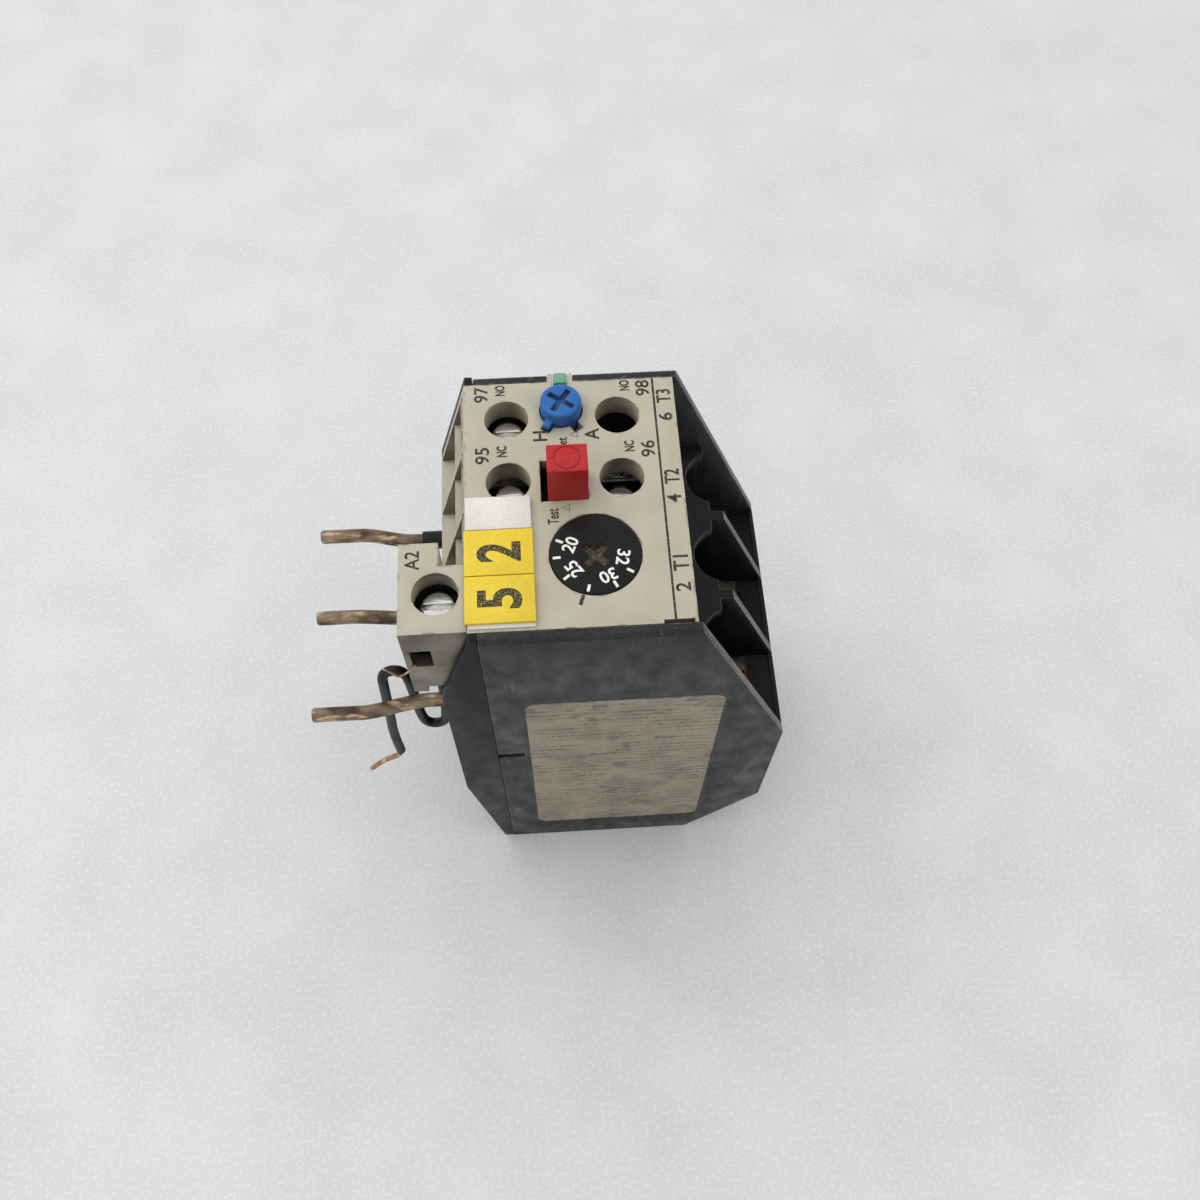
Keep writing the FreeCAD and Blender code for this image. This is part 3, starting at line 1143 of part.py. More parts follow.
def main():
    """Build every sub-part and write the files."""
    fill_sheet()
    base_housing()
    side_cover("side_cover_left", -1)
    side_cover("side_cover_right", 1)
    front_cover()
    coil_terminal_block()
    rating_label()
    marker_strip()
    auxiliary_terminals()
    coil_terminal()
    main_terminals()
    bimetal_strips()
    heater_windings()
    trip_slide("trip_slide", "trip_slide_x", -1, True)
    trip_slide("differential_slide", "differential_slide_x", 1, False)
    mechanism_tray()
    levers()
    contact_carrier()
    reset_controls()
    test_button()
    setting_dial()
    contact_pins()
    coil_lead()
    check_and_export()


main()
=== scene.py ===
"""Looks of the thermal overload relay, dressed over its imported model.

Lengths in class fields and constants are millimetres in the relay's own frame; meshes are made
in metres. The relay lies on its back with its front panel up.
"""

import json
import logging
import math
from dataclasses import dataclass
from enum import Enum

import bmesh
import bpy
from mathutils import Matrix, Vector, noise


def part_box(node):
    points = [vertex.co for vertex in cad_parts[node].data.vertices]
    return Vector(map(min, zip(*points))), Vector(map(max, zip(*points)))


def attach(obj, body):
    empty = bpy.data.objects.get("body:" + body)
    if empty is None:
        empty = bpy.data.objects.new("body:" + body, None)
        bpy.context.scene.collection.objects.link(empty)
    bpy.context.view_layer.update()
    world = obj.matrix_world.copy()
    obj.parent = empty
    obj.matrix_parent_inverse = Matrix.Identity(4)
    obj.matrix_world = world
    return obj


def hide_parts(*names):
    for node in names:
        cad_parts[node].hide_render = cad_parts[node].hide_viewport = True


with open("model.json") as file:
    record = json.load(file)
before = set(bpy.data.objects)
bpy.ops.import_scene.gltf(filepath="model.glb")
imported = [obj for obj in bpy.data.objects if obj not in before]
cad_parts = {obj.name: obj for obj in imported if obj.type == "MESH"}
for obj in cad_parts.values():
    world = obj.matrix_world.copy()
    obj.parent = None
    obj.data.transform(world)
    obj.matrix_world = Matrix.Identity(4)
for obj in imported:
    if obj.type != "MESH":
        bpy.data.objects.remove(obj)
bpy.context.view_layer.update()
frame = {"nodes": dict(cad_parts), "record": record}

MM = 0.001
LOG = logging.getLogger("relay")
PRINT_LIFT = 0.02
MERGE_GAP = 0.004
SHARP_ANGLE = math.radians(32)
FLAT_ANGLE = math.radians(0.4)
UPWARDS = math.radians(90)
# brown painted shade in corners and hollows
HOLLOW_SHADE_COLOUR = "#4A4030"
# brown painted shade on the faces towards the label side
LABEL_SIDE_SHADE = "#40392D"
EDGE_STAIN = "#62503A"
SPECK = "#030303"


# ---------------------------------------------------------------- shared helpers

def linear(code: str) -> tuple[float, float, float, float]:
    """Turn an sRGB hex colour into linear values.

    Args:
        code: Colour such as "#C8C3B2".

    Returns:
        Linear red, green, blue and an alpha of 1.
    """
    values = [int(code[place:place + 2], 16) / 255 for place in (1, 3, 5)]
    curve = [v / 12.92 if v <= 0.04045 else ((v + 0.055) / 1.055) ** 2.4 for v in values]
    return (*curve, 1.0)


def feed(node: bpy.types.Node, inputs: dict) -> None:
    """Give a node's sockets their values and links.

    Args:
        node: The node.
        inputs: Socket name or index to a plain value, or to the socket that feeds it.
    """
    for key, value in inputs.items():
        if isinstance(value, bpy.types.NodeSocket):
            node.id_data.links.new(value, node.inputs[key])
        else:
            node.inputs[key].default_value = value


def add_node(tree: bpy.types.NodeTree, kind: str, inputs: dict | None = None,
             **settings) -> bpy.types.Node:
    """Add one node with its settings, values and links.

    Args:
        tree: Tree that gets the node.
        kind: Blender's name of the node type.
        inputs: Socket name or index to a plain value, or to the socket that feeds it.
        **settings: Properties of the node itself.

    Returns:
        The new node.
    """
    node = tree.nodes.new(kind)
    for name, setting in settings.items():
        setattr(node, name, setting)
    feed(node, inputs or {})
    return node


def body_of_node(node: str) -> str:
    """Name of the moving body that holds a CAD node."""
    bodies = frame["record"]["behaviour"]["bodies"]
    return next(body for body, nodes in bodies.items() if node in nodes)


def centre_of(node: str) -> Vector:
    """Centre of a CAD node's box, in millimetres."""
    low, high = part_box(node)
    return (low + high) / (2 * MM)


def top_of(node: str) -> float:
    """Highest point of a CAD node, in millimetres."""
    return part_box(node)[1].z / MM


def add_object(name: str, data: bpy.types.ID) -> bpy.types.Object:
    """Put new data into the scene as an object."""
    made = bpy.data.objects.new(name, data)
    bpy.context.scene.collection.objects.link(made)
    return made


def finish_mesh(work: bmesh.types.BMesh, name: str, smooth: bool = True) -> bpy.types.Object:
    """Turn a bmesh into an object at the origin.

    Args:
        work: Finished bmesh in metres; it is freed.
        name: Name of the piece.
        smooth: Shade smooth except across sharp edges.

    Returns:
        The new object.
    """
    mesh = bpy.data.meshes.new(name)
    work.to_mesh(mesh)
    work.free()
    for layer in [item for item in mesh.attributes if item.name == "custom_normal"]:
        mesh.attributes.remove(layer)
    if smooth:
        mesh.shade_smooth()
        mesh.set_sharp_from_angle(angle=SHARP_ANGLE)
    return add_object(name, mesh)


def dress(piece: bpy.types.Object, *materials: bpy.types.Material) -> None:
    """Give a piece its materials in order, in place of any it has."""
    piece.data.materials.clear()
    for material in materials:
        piece.data.materials.append(material)


def softened(node: str, radius: float) -> bpy.types.Object:
    """Copy a CAD node as one joined mesh with its sharp edges rounded, and stand in for it.

    Args:
        node: CAD node to copy.
        radius: Width of the rounding in millimetres.

    Returns:
        The piece, riding on the node's body.
    """
    work = bmesh.new()
    work.from_mesh(frame["nodes"][node].data)
    bmesh.ops.remove_doubles(work, verts=work.verts, dist=MERGE_GAP * MM)
    bmesh.ops.dissolve_limit(work, angle_limit=FLAT_ANGLE, verts=work.verts,
                             edges=work.edges, delimit={"NORMAL"})
    sharp = [edge for edge in work.edges
             if len(edge.link_faces) == 2 and edge.calc_face_angle() > SHARP_ANGLE]
    bmesh.ops.bevel(work, geom=sharp, offset=radius * MM, offset_type="OFFSET",
                    segments=2, profile=0.5, affect="EDGES", clamp_overlap=True,
                    material=-1)
    piece = finish_mesh(work, f"{node}_moulded")
    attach(piece, body_of_node(node))
    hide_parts(node)
    return piece


# ---------------------------------------------------------------- finishes

@dataclass
class Coat:
    """Colour built up in layers in one material's tree.

    Attributes:
        tree: The material's tree.
        place: Object coordinates in metres.
        colour: Linear colour at first, then the socket of the last layer.
    """

    tree: bpy.types.NodeTree
    place: bpy.types.NodeSocket
    colour: tuple | bpy.types.NodeSocket

    def lay(self, tint: str, *masks: float | bpy.types.NodeSocket) -> None:
        """Lay a tint over the colour so far.

        Args:
            tint: Hex code of the tint.
            *masks: Factors from 0 to 1, whose product is the tint's share.
        """
        share = masks[0]
        for mask in masks[1:]:
            share = add_node(self.tree, "ShaderNodeMath", {0: share, 1: mask},
                             operation="MULTIPLY").outputs[0]
        self.colour = add_node(self.tree, "ShaderNodeMix", {
            0: share, 6: self.colour, 7: linear(tint)}, data_type="RGBA").outputs[2]

    def cloud(self, size: float, low: float, high: float, detail: float = 4.0,
              stretch: tuple[float, float, float] = (1, 1, 1)) -> bpy.types.NodeSocket:
        """Cloudy mask from noise.

        Args:
            size: Size of a patch in millimetres.
            low: Noise value that gives 0.
            high: Noise value that gives 1.
            detail: Octaves of the noise.
            stretch: How many times longer a patch is along X, Y and Z.

        Returns:
            A factor from 0 to 1.
        """
        scale = [1 / (factor * size * MM) for factor in stretch]
        scaled = add_node(self.tree, "ShaderNodeMapping", {
            "Vector": self.place, "Scale": scale})
        noisy = add_node(self.tree, "ShaderNodeTexNoise", {
            "Vector": scaled.outputs[0], "Scale": 1.0, "Detail": detail})
        return add_node(self.tree, "ShaderNodeMapRange", {
            "Value": noisy.outputs["Fac"], "From Min": low, "From Max": high}).outputs["Result"]

    def edges(self, width: float) -> bpy.types.NodeSocket:
        """Mask that is 1 along convex edges.

        Args:
            width: How far it reaches from the edge, in millimetres.

        Returns:
            A factor from 0 to 1.
        """
        geometry = add_node(self.tree, "ShaderNodeNewGeometry")
        rounded = add_node(self.tree, "ShaderNodeBevel", {"Radius": width * MM}, samples=6)
        agree = add_node(self.tree, "ShaderNodeVectorMath", {
            0: geometry.outputs["Normal"], 1: rounded.outputs["Normal"]},
            operation="DOT_PRODUCT")
        return add_node(self.tree, "ShaderNodeMapRange", {
            "Value": agree.outputs["Value"], "From Min": 0.995,
            "From Max": 0.86}).outputs["Result"]

    def facing(self, axis: str, none: float, full: float) -> bpy.types.NodeSocket:
        """Mask of the faces that look along one axis.

        Args:
            axis: "X", "Y" or "Z".
            none: Value of the normal along it that gives 0.
            full: Value of the normal along it that gives 1.

        Returns:
            A factor from 0 to 1.
        """
        geometry = add_node(self.tree, "ShaderNodeNewGeometry")
        parts = add_node(self.tree, "ShaderNodeSeparateXYZ", {0: geometry.outputs["Normal"]})
        return add_node(self.tree, "ShaderNodeMapRange", {
            "Value": parts.outputs[axis], "From Min": none,
            "From Max": full}).outputs["Result"]


@dataclass(frozen=True)
class Surface:
    """A finish: one material, whose colour is laid in coats.

    Attributes:
        name: Material name.
        colour: Colour of the clean surface.
    """

    name: str
    colour: str

    def material(self) -> bpy.types.Material:
        """Give the material, built the first time that it is asked for.

        Returns:
            The material.
        """
        made = bpy.data.materials.get(self.name)
        if made:
            return made
        material = bpy.data.materials.new(self.name)
        material.use_nodes = True
        tree = material.node_tree
        place = add_node(tree, "ShaderNodeTexCoord").outputs["Object"]
        coat = Coat(tree, place, linear(self.colour))
        inputs = self.paint(coat)
        feed(tree.nodes["Principled BSDF"], {"Base Color": coat.colour, **inputs})
        return material

    def paint(self, coat: Coat) -> dict:
        """Lay the layers, and work out the shader's other inputs.

        Args:
            coat: The clean colour, which takes the layers.

        Returns:
            Socket name to a plain value, or to the socket that feeds it.
        """
        raise NotImplementedError


@dataclass(frozen=True)
class Moulding(Surface):
    """Injection moulded thermoplastic: an even colour under a fine spark-eroded grain.

    Attributes:
        shade: Second tone of the cloudy variation.
        roughness: Roughness of the clean surface.
        grain: Size of the mould's grain in millimetres.
        relief: Height of the grain in millimetres.
        dust_colour: Colour of settled dust.
        dust: Share of dust, 0 to 1.
        wear_colour: Colour of rubbed edges.
        wear: Strength of the rubbed edges, 0 to 1.
        wear_width: Width of the rubbed edges in millimetres.
        grime: Strength of the brown painted shade in corners and hollows, 0 to 1.
        scuffs: Strength of long rub marks, 0 to 1.
        gloss: Strength of the reflection, 0.5 for plain smooth plastic.
        side_dirt: Strength of the brown painted shade on faces towards the label side, 0 to 1.
        edge_stain: Strength of the brown stains along edges, 0 to 1.
        smears: How much rougher the surface is where it is smeared.
        specks: Strength of the small dark specks, 0 to 1.
    """

    shade: str
    roughness: float = 0.5
    grain: float = 0.35
    relief: float = 0.02
    dust_colour: str = "#B9B3A6"
    dust: float = 0.15
    wear_colour: str = "#C9C7C2"
    wear: float = 0.3
    wear_width: float = 0.25
    grime: float = 0.0
    scuffs: float = 0.0
    gloss: float = 0.5
    side_dirt: float = 0.0
    edge_stain: float = 0.0
    smears: float = 0.12
    specks: float = 0.0

    def paint(self, coat: Coat) -> dict:
        """See base class."""
        coat.lay(self.shade, coat.cloud(7.0, 0.3, 0.7, 6.0))
        self.soil(coat)
        self.stain(coat)
        coat.lay(self.wear_colour, coat.edges(self.wear_width), coat.cloud(1.3, 0.35, 0.6),
                 self.wear)
        sheen = add_node(coat.tree, "ShaderNodeMapRange", {
            "Value": coat.cloud(4.0, 0.3, 0.7, 9.0, (1, 1, 1.6)),
            "To Min": self.roughness - 0.07, "To Max": self.roughness + self.smears})
        bump = add_node(coat.tree, "ShaderNodeBump", {
            "Height": coat.cloud(self.grain, 0.2, 0.8, 2.0), "Distance": self.relief * MM,
            "Strength": 0.7})
        return {"Specular IOR Level": self.gloss, "Roughness": sheen.outputs["Result"],
                "Normal": bump.outputs["Normal"]}

    def soil(self, coat: Coat) -> None:
        """Lay dust, rub marks, and brown painted shade in corners and hollows.

        Args:
            coat: The body colour, which takes the layers.
        """
        film = add_node(coat.tree, "ShaderNodeMath", {
            0: coat.cloud(11.0, 0.35, 0.8, 8.0), 1: coat.cloud(0.55, 0.42, 0.66, 3.0)},
            operation="ADD")
        lying = add_node(coat.tree, "ShaderNodeMapRange", {
            "Value": coat.facing("Z", -0.1, 0.9), "To Min": 0.45 * self.dust,
            "To Max": self.dust})
        coat.lay(self.dust_colour, film.outputs[0], lying.outputs["Result"])
        if self.scuffs:
            coat.lay(self.dust_colour, coat.cloud(0.28, 0.6, 0.72, 3.0, (3, 3, 30)),
                     coat.cloud(13.0, 0.42, 0.68), self.scuffs)
        # painted shade: a brown tint where ambient occlusion finds a corner or hollow
        if self.grime:
            hollow = add_node(coat.tree, "ShaderNodeAmbientOcclusion", {
                "Distance": 1.6 * MM}, samples=6, only_local=True)
            hollow_darkening = add_node(coat.tree, "ShaderNodeMapRange", {
                "Value": hollow.outputs["AO"], "From Min": 0.95, "From Max": 0.35,
                "To Max": self.grime})
            coat.lay(HOLLOW_SHADE_COLOUR, hollow_darkening.outputs["Result"])

    def stain(self, coat: Coat) -> None:
        """Lay brown painted shade on the faces towards the label side, brown stains along edges,
        and dark specks.

        Args:
            coat: The soiled colour, which takes the layers.
        """
        # painted shade: a brown tint on the faces that look towards the label side
        if self.side_dirt:
            coat.lay(LABEL_SIDE_SHADE, coat.facing("Y", -0.4, -0.95),
                     coat.cloud(9.0, 0.05, 0.6, 5.0), self.side_dirt)
        if self.edge_stain:
            coat.lay(EDGE_STAIN, coat.edges(0.8), coat.cloud(2.2, 0.5, 0.62, 6.0),
                     self.edge_stain)
        if self.specks:
            coat.lay(SPECK, coat.cloud(0.45, 0.62, 0.68, 2.0),
                     coat.cloud(6.0, 0.3, 0.6, 3.0), self.specks)


@dataclass(frozen=True)
class PlatedSteel(Surface):
    """Zinc plated steel screw stock: bright, with dull grey tarnish and turning marks."""

    colour: str = "#D9D7D0"
    tarnish: str = "#77716A"
    share: float = 0.35
    roughness: float = 0.26
    thread_pitch: float = 0.0

    def paint(self, coat: Coat) -> dict:
        """See base class."""
        dull = add_node(coat.tree, "ShaderNodeMath", {
            0: coat.cloud(2.2, 0.45, 0.7, 7.0), 1: self.share}, operation="MULTIPLY")
        coat.lay(self.tarnish, dull.outputs[0])
        rough = add_node(coat.tree, "ShaderNodeMapRange", {
            "Value": dull.outputs[0], "To Min": self.roughness, "To Max": self.roughness + 0.5})
        height = coat.cloud(0.25, 0.3, 0.7, 2.0, (6, 1, 1))
        depth = 0.01
        if self.thread_pitch:
            turns = add_node(coat.tree, "ShaderNodeTexWave", {
                "Vector": coat.place, "Scale": 1 / (3.15 * self.thread_pitch * MM)},
                bands_direction="Z")
            height = turns.outputs["Fac"]
            depth = 0.35
        bump = add_node(coat.tree, "ShaderNodeBump", {
            "Height": height, "Distance": depth * MM, "Strength": 0.8})
        return {"Metallic": 1.0, "Roughness": rough.outputs["Result"],
                "Normal": bump.outputs["Normal"]}


@dataclass(frozen=True)
class AgedCopper(Surface):
    """Bare copper that has oxidised brown, scraped bright where clamps have gripped it."""

    colour: str = "#7A6450"
    oxide: str = "#4E4136"
    scraped: str = "#B79A7A"
    roughness: float = 0.42

    def paint(self, coat: Coat) -> dict:
        """See base class."""
        dark = coat.cloud(2.6, 0.42, 0.66, 6.0, (2.2, 1, 1))
        coat.lay(self.oxide, dark)
        coat.lay(self.scraped, coat.cloud(1.6, 0.56, 0.68, 4.0, (3, 1, 1)))
        rough = add_node(coat.tree, "ShaderNodeMapRange", {
            "Value": dark, "To Min": self.roughness - 0.08, "To Max": self.roughness + 0.25})
        bump = add_node(coat.tree, "ShaderNodeBump", {
            "Height": coat.cloud(0.7, 0.3, 0.7, 5.0), "Distance": 0.08 * MM,
            "Strength": 0.8})
        return {"Metallic": 0.85, "Roughness": rough.outputs["Result"],
                "Normal": bump.outputs["Normal"]}


@dataclass(frozen=True)
class LabelFilm(Surface):
    """Printed polyester film, faded and rubbed until only faint streaks are left."""

    colour: str = "#9F957F"
    stained: str = "#7D725E"
    rubbed: str = "#B2A993"
    ink: str = "#3A362E"
    line_pitch: float = 1.9

    def paint(self, coat: Coat) -> dict:
        """See base class."""
        coat.lay(self.stained, coat.cloud(6.0, 0.4, 0.75, 7.0))
        coat.lay(self.stained, coat.cloud(0.5, 0.55, 0.75, 3.0, (14, 1, 1)), 0.45)
        # rows of worn-off small print that no longer make words
        coat.lay(self.ink, self.rows(coat), coat.cloud(2.6, 0.4, 0.48, 1.0, (2.5, 1, 0.7)),
                 coat.cloud(0.4, 0.44, 0.52, 1.0), coat.cloud(9.0, 0.3, 0.62))
        coat.lay(self.ink, coat.cloud(3.6, 0.58, 0.66, 6.0, (1.4, 1, 0.8)), 0.55)
        rubs = coat.cloud(3.2, 0.58, 0.72, 8.0, (1, 1, 3))
        coat.lay(self.rubbed, rubs, 0.6)
        rough = add_node(coat.tree, "ShaderNodeMapRange", {
            "Value": rubs, "To Min": 0.38, "To Max": 0.6})
        return {"Roughness": rough.outputs["Result"]}

    def rows(self, coat: Coat) -> bpy.types.NodeSocket:
        """Rows that once held small print.

        Args:
            coat: The label's colour.

        Returns:
            1 in a row, 0 between rows.
        """
        parts = add_node(coat.tree, "ShaderNodeSeparateXYZ", {0: coat.place})
        row = add_node(coat.tree, "ShaderNodeMath", {
            0: parts.outputs["Z"], 1: 1 / (self.line_pitch * MM)}, operation="MULTIPLY")
        row = add_node(coat.tree, "ShaderNodeMath", {0: row.outputs[0]}, operation="FRACT")
        return add_node(coat.tree, "ShaderNodeMath", {0: row.outputs[0], 1: 0.42},
                        operation="LESS_THAN").outputs[0]


@dataclass(frozen=True)
class PrintInk(Surface):
    """Pad printing ink, slightly broken where fingers and tools have rubbed it."""

    ground: str
    rubbed: float = 0.35

    def paint(self, coat: Coat) -> dict:
        """See base class."""
        coat.lay(self.ground, coat.cloud(0.3, 0.52, 0.7), self.rubbed)
        return {"Roughness": 0.55}


@dataclass(frozen=True)
class StoneFloor(Surface):
    """Pale table top with a fine crystalline speckle."""

    name: str = "pale_speckled_table"
    colour: str = "#DBDBDC"
    vein: str = "#CFD0D1"
    fleck: str = "#F0F0F1"

    def paint(self, coat: Coat) -> dict:
        """See base class."""
        coat.lay(self.vein, coat.cloud(26.0, 0.3, 0.75, 8.0))
        coat.lay(self.fleck, coat.cloud(0.9, 0.5, 0.68, 3.0), 0.4)
        bump = add_node(coat.tree, "ShaderNodeBump", {
            "Height": coat.cloud(0.9, 0.3, 0.7, 3.0), "Distance": 0.08 * MM,
            "Strength": 0.5})
        return {"Roughness": 0.6, "Normal": bump.outputs["Normal"]}


class Finish(Enum):
    """Every finish on the relay, by the record's material slot or by its use."""

    # glass-filled polyamide, spark eroded: matt black-grey that shows every rub
    black_moulding = Moulding("black_polyamide_moulding", "#0E1013", "#1B1D21", 0.36, 0.3, 0.012,
                              "#77736C", 0.08, "#A2A19C", 0.9, 0.3, 0.0, 0.6, 0.38,
                              smears=0.26, specks=1.0)
    # the same moulding painted darker and less glossy as shade, for the housing with its deep
    # wire chambers out of reach of hands and light
    sheltered_moulding = Moulding("shade_painted_black_moulding", "#0C0D0F", "#101113", 0.42, 0.3,
                                  0.012, "#5E5A52", 0.03, "#8C8B86", 0.5, 0.2, gloss=0.22)
    # the slanting rims of the wire chambers, rubbed grey by cables and hands, and painted
    # lighter as a highlight where they face up towards the sky
    rubbed_moulding = Moulding("rubbed_highlit_black_moulding", "#3E3E3C", "#24252A", 0.5, 0.6, 0.02,
                               "#A7A292", 0.4, "#B5B1A4", 0.8, 0.3, 0.0, 0.4)
    # the dial is kept clean by the panel's recess, so it is a deeper black
    dial_moulding = Moulding("clean_black_moulding", "#101012", "#151517", 0.42, 0.3, 0.01,
                             "#6B5A42", 0.03, "#5A5B5D", 0.25, 0.12, 0.5, gloss=0.22)
    # warm grey polyamide, yellowed, with brown painted shade in its corners and on its faces
    # towards the label side
    beige_moulding = Moulding("warm_grey_polyamide_moulding", "#BDB8A5", "#B4AE99", 0.42, 0.3,
                              0.01, "#A1987F", 0.1, "#DAD6C8", 0.4, 0.18, 0.85,
                              side_dirt=0.9, edge_stain=1.0)
    # inside the cap and the coil block every face is painted dark: painted shade
    inner_moulding = Moulding("painted_interior_shade_moulding", "#2B2825", "#1E1C1A", 0.6, dust=0.05,
                              wear=0.1)
    slide_moulding = Moulding("ivory_acetal_slide", "#DAD4C0", "#D0C9B2", 0.4, grime=0.3)
    # glossy coloured ABS buttons with brown painted shade at their feet and on their sides
    # towards the label
    blue_plastic = Moulding("blue_knob_moulding", "#1769B8", "#145DA6", 0.34, 0.5, 0.01,
                            "#8FA2B2", 0.03, "#5C9BD2", 0.45, 0.18, 0.6, gloss=0.35,
                            side_dirt=0.25)
    red_plastic = Moulding("red_button_moulding", "#BE161F", "#AE1019", 0.34, 0.5, 0.012,
                           "#C98A84", 0.04, "#D2635F", 0.5, 0.2, 0.3, gloss=0.3,
                           side_dirt=0.25)
    green_plastic = Moulding("green_indicator_moulding", "#5FA883", "#549A76", 0.4, wear=0.2)
    white_plastic = Moulding("white_marker_tag", "#E6E4DE", "#DAD7CE", 0.45, 0.8, 0.01,
                             "#A39B8B", 0.16, "#F2F1ED", 0.3, 0.15, 0.3, 0.12)
    yellow_plastic = Moulding("yellow_marker_tag", "#F2D52B", "#E8C823", 0.42, 0.8, 0.01,
                              "#A58E3A", 0.16, "#F7E679", 0.3, 0.15, 0.35, 0.1)
    lead_insulation = Moulding("black_pvc_insulation", "#0D0E10", "#090A0B", 0.42, 0.6, 0.02,
                               "#5E5E5E", 0.05, "#3A3B3D", 0.1, gloss=0.35)
    zinc_steel = PlatedSteel("zinc_plated_steel", "#F8F7F3", "#8A857C", 0.3, 0.14)
    # screws in the open wire chambers: grey-brown tarnish, painted dark as the shade that falls
    # on them
    tarnished_steel = PlatedSteel("tarnished_shaded_terminal_steel", "#4E4A45", "#26231F", 0.8, 0.48)
    threaded_steel = PlatedSteel("rolled_thread_steel", "#B4B0A6", "#6A635A", 0.5, 0.32, 0.7)
    spring_steel = PlatedSteel("spring_wire", "#BFC0C0", "#7C7A76", 0.3, 0.24)
    silver_alloy = PlatedSteel("silvered_contact_rail", "#C9C6BC", "#5E574B", 0.55, 0.3)
    brass_strip = PlatedSteel("rolled_bimetal_strip", "#B79A62", "#7A6238", 0.5, 0.34)
    aged_copper = AgedCopper("oxidised_copper_pin", "#94806A", "#5E4F40", "#D2BA9A")
    copper = AgedCopper("bare_copper_wire", "#AD8560", "#6E5138", "#E6C6A0", 0.34)
    # copper bars under the main screws: brown oxide, painted nearly black as shade
    tarnished_copper = AgedCopper("oxidised_shaded_copper_bar", "#2E2118", "#1A130F", "#4A3829", 0.5)
    # brown dust packed into the dial's screwdriver slot
    packed_dirt = Moulding("packed_brown_dust", "#231C15", "#110F0C", 0.8, 0.4, 0.06, "#A08F72",
                           0.26, wear=0.0)
    label_film = LabelFilm("faded_label_film")
    black_ink = PrintInk("black_print", "#1D1D1A", "#C9C4B4", 0.25)
    tag_ink = PrintInk("tag_engraving_ink", "#2C2A1C", "#F2D52B", 0.6)
    white_ink = PrintInk("white_print", "#EDEDE8", "#2B2D30", 0.3)
    floor = StoneFloor()

    def material(self) -> bpy.types.Material:
        """Material of this finish."""
        return self.value.material()


# ---------------------------------------------------------------- mouldings

@dataclass
class Casing:
    """Black housing with its two covers, and the warm grey cap and coil block."""

    black_edge: float = 0.22
    cap_edge: float = 0.16
    block_edge: float = 0.28
    chamber_start: float = 16.0
    slant: float = 0.35
    cap_inside: tuple[Vector, Vector] = (Vector((-22.4, -24.2, 89.2)),
                                         Vector((15.6, 24.2, 107.1)))
    block_inside: tuple[Vector, Vector] = (Vector((-32.6, -24.9, 97.0)),
                                           Vector((-23.1, -13.0, 105.4)))

    def build(self) -> None:
        """Round the mouldings' edges and give them their finishes."""
        # the housing takes the black moulding's darker copy: painted shade
        for node, finish in (("base_housing", Finish.sheltered_moulding),
                             ("side_cover_left", Finish.black_moulding),
                             ("side_cover_right", Finish.black_moulding)):
            self.rub_rims(softened(node, self.black_edge), finish)
        # inside the cap and the coil block, faces take painted shade
        self.darken_inside(softened("front_cover", self.cap_edge), *self.cap_inside)
        self.darken_inside(softened("coil_terminal_block", self.block_edge),
                           *self.block_inside)

    def rub_rims(self, piece: bpy.types.Object, finish: Finish) -> None:
        """Give a black moulding its finish, and on its slanting chamber rims a lighter one:
        rubbed, and a painted highlight.

        Args:
            piece: The moulding.
            finish: Finish of the rest of it.
        """
        dress(piece, finish.material(), Finish.rubbed_moulding.material())
        for face in piece.data.polygons:
            # faces that slant up towards the sky get the lighter finish: wear and painted
            # highlight
            slanting = min(face.normal.x, face.normal.z) > self.slant > abs(face.normal.y)
            face.material_index = int(slanting and face.center.x / MM > self.chamber_start)

    def darken_inside(self, piece: bpy.types.Object, low: Vector, high: Vector) -> None:
        """Give a moulding its outer finish, and inside a box the dark inner one: painted shade.

        Args:
            piece: The moulding.
            low: Lower corner of the box in millimetres.
            high: Upper corner of the box in millimetres.
        """
        dress(piece, Finish.beige_moulding.material(), Finish.inner_moulding.material())
        for face in piece.data.polygons:
            place = face.center / MM
            face.material_index = int(all(a < v < b for a, v, b in zip(low, place, high)))


@dataclass
class Controls:
    """Knob, button, dial, indicator and marker tags."""

    dial_slot_reach: float = 3.4
    dial_slot_top: float = 0.4

    def build(self) -> None:
        """Round the small mouldings' edges and give them their finishes."""
        for node, radius, finish in (
                ("reset_knob", 0.25, Finish.blue_plastic),
                ("test_button", 0.3, Finish.red_plastic),
                ("setting_dial", 0.12, Finish.dial_moulding),
                ("trip_indicator", 0.25, Finish.green_plastic),
                ("marker_carrier", 0.08, Finish.white_plastic),
                ("white_tag", 0.1, Finish.white_plastic),
                ("yellow_tags", 0.1, Finish.yellow_plastic)):
            piece = softened(node, radius)
            dress(piece, finish.material())
            if node == "setting_dial":
                self.dirty_slot(piece)

    def dirty_slot(self, piece: bpy.types.Object) -> None:
        """Pack brown dust into the dial's screwdriver slot.

        Args:
            piece: The dial.
        """
        piece.data.materials.append(Finish.packed_dirt.material())
        middle = centre_of("setting_dial")
        level = top_of("setting_dial") - self.dial_slot_top
        for face in piece.data.polygons:
            place = face.center / MM
            inside = (place - middle).to_2d().length < self.dial_slot_reach
            face.material_index = int(inside and place.z < level)


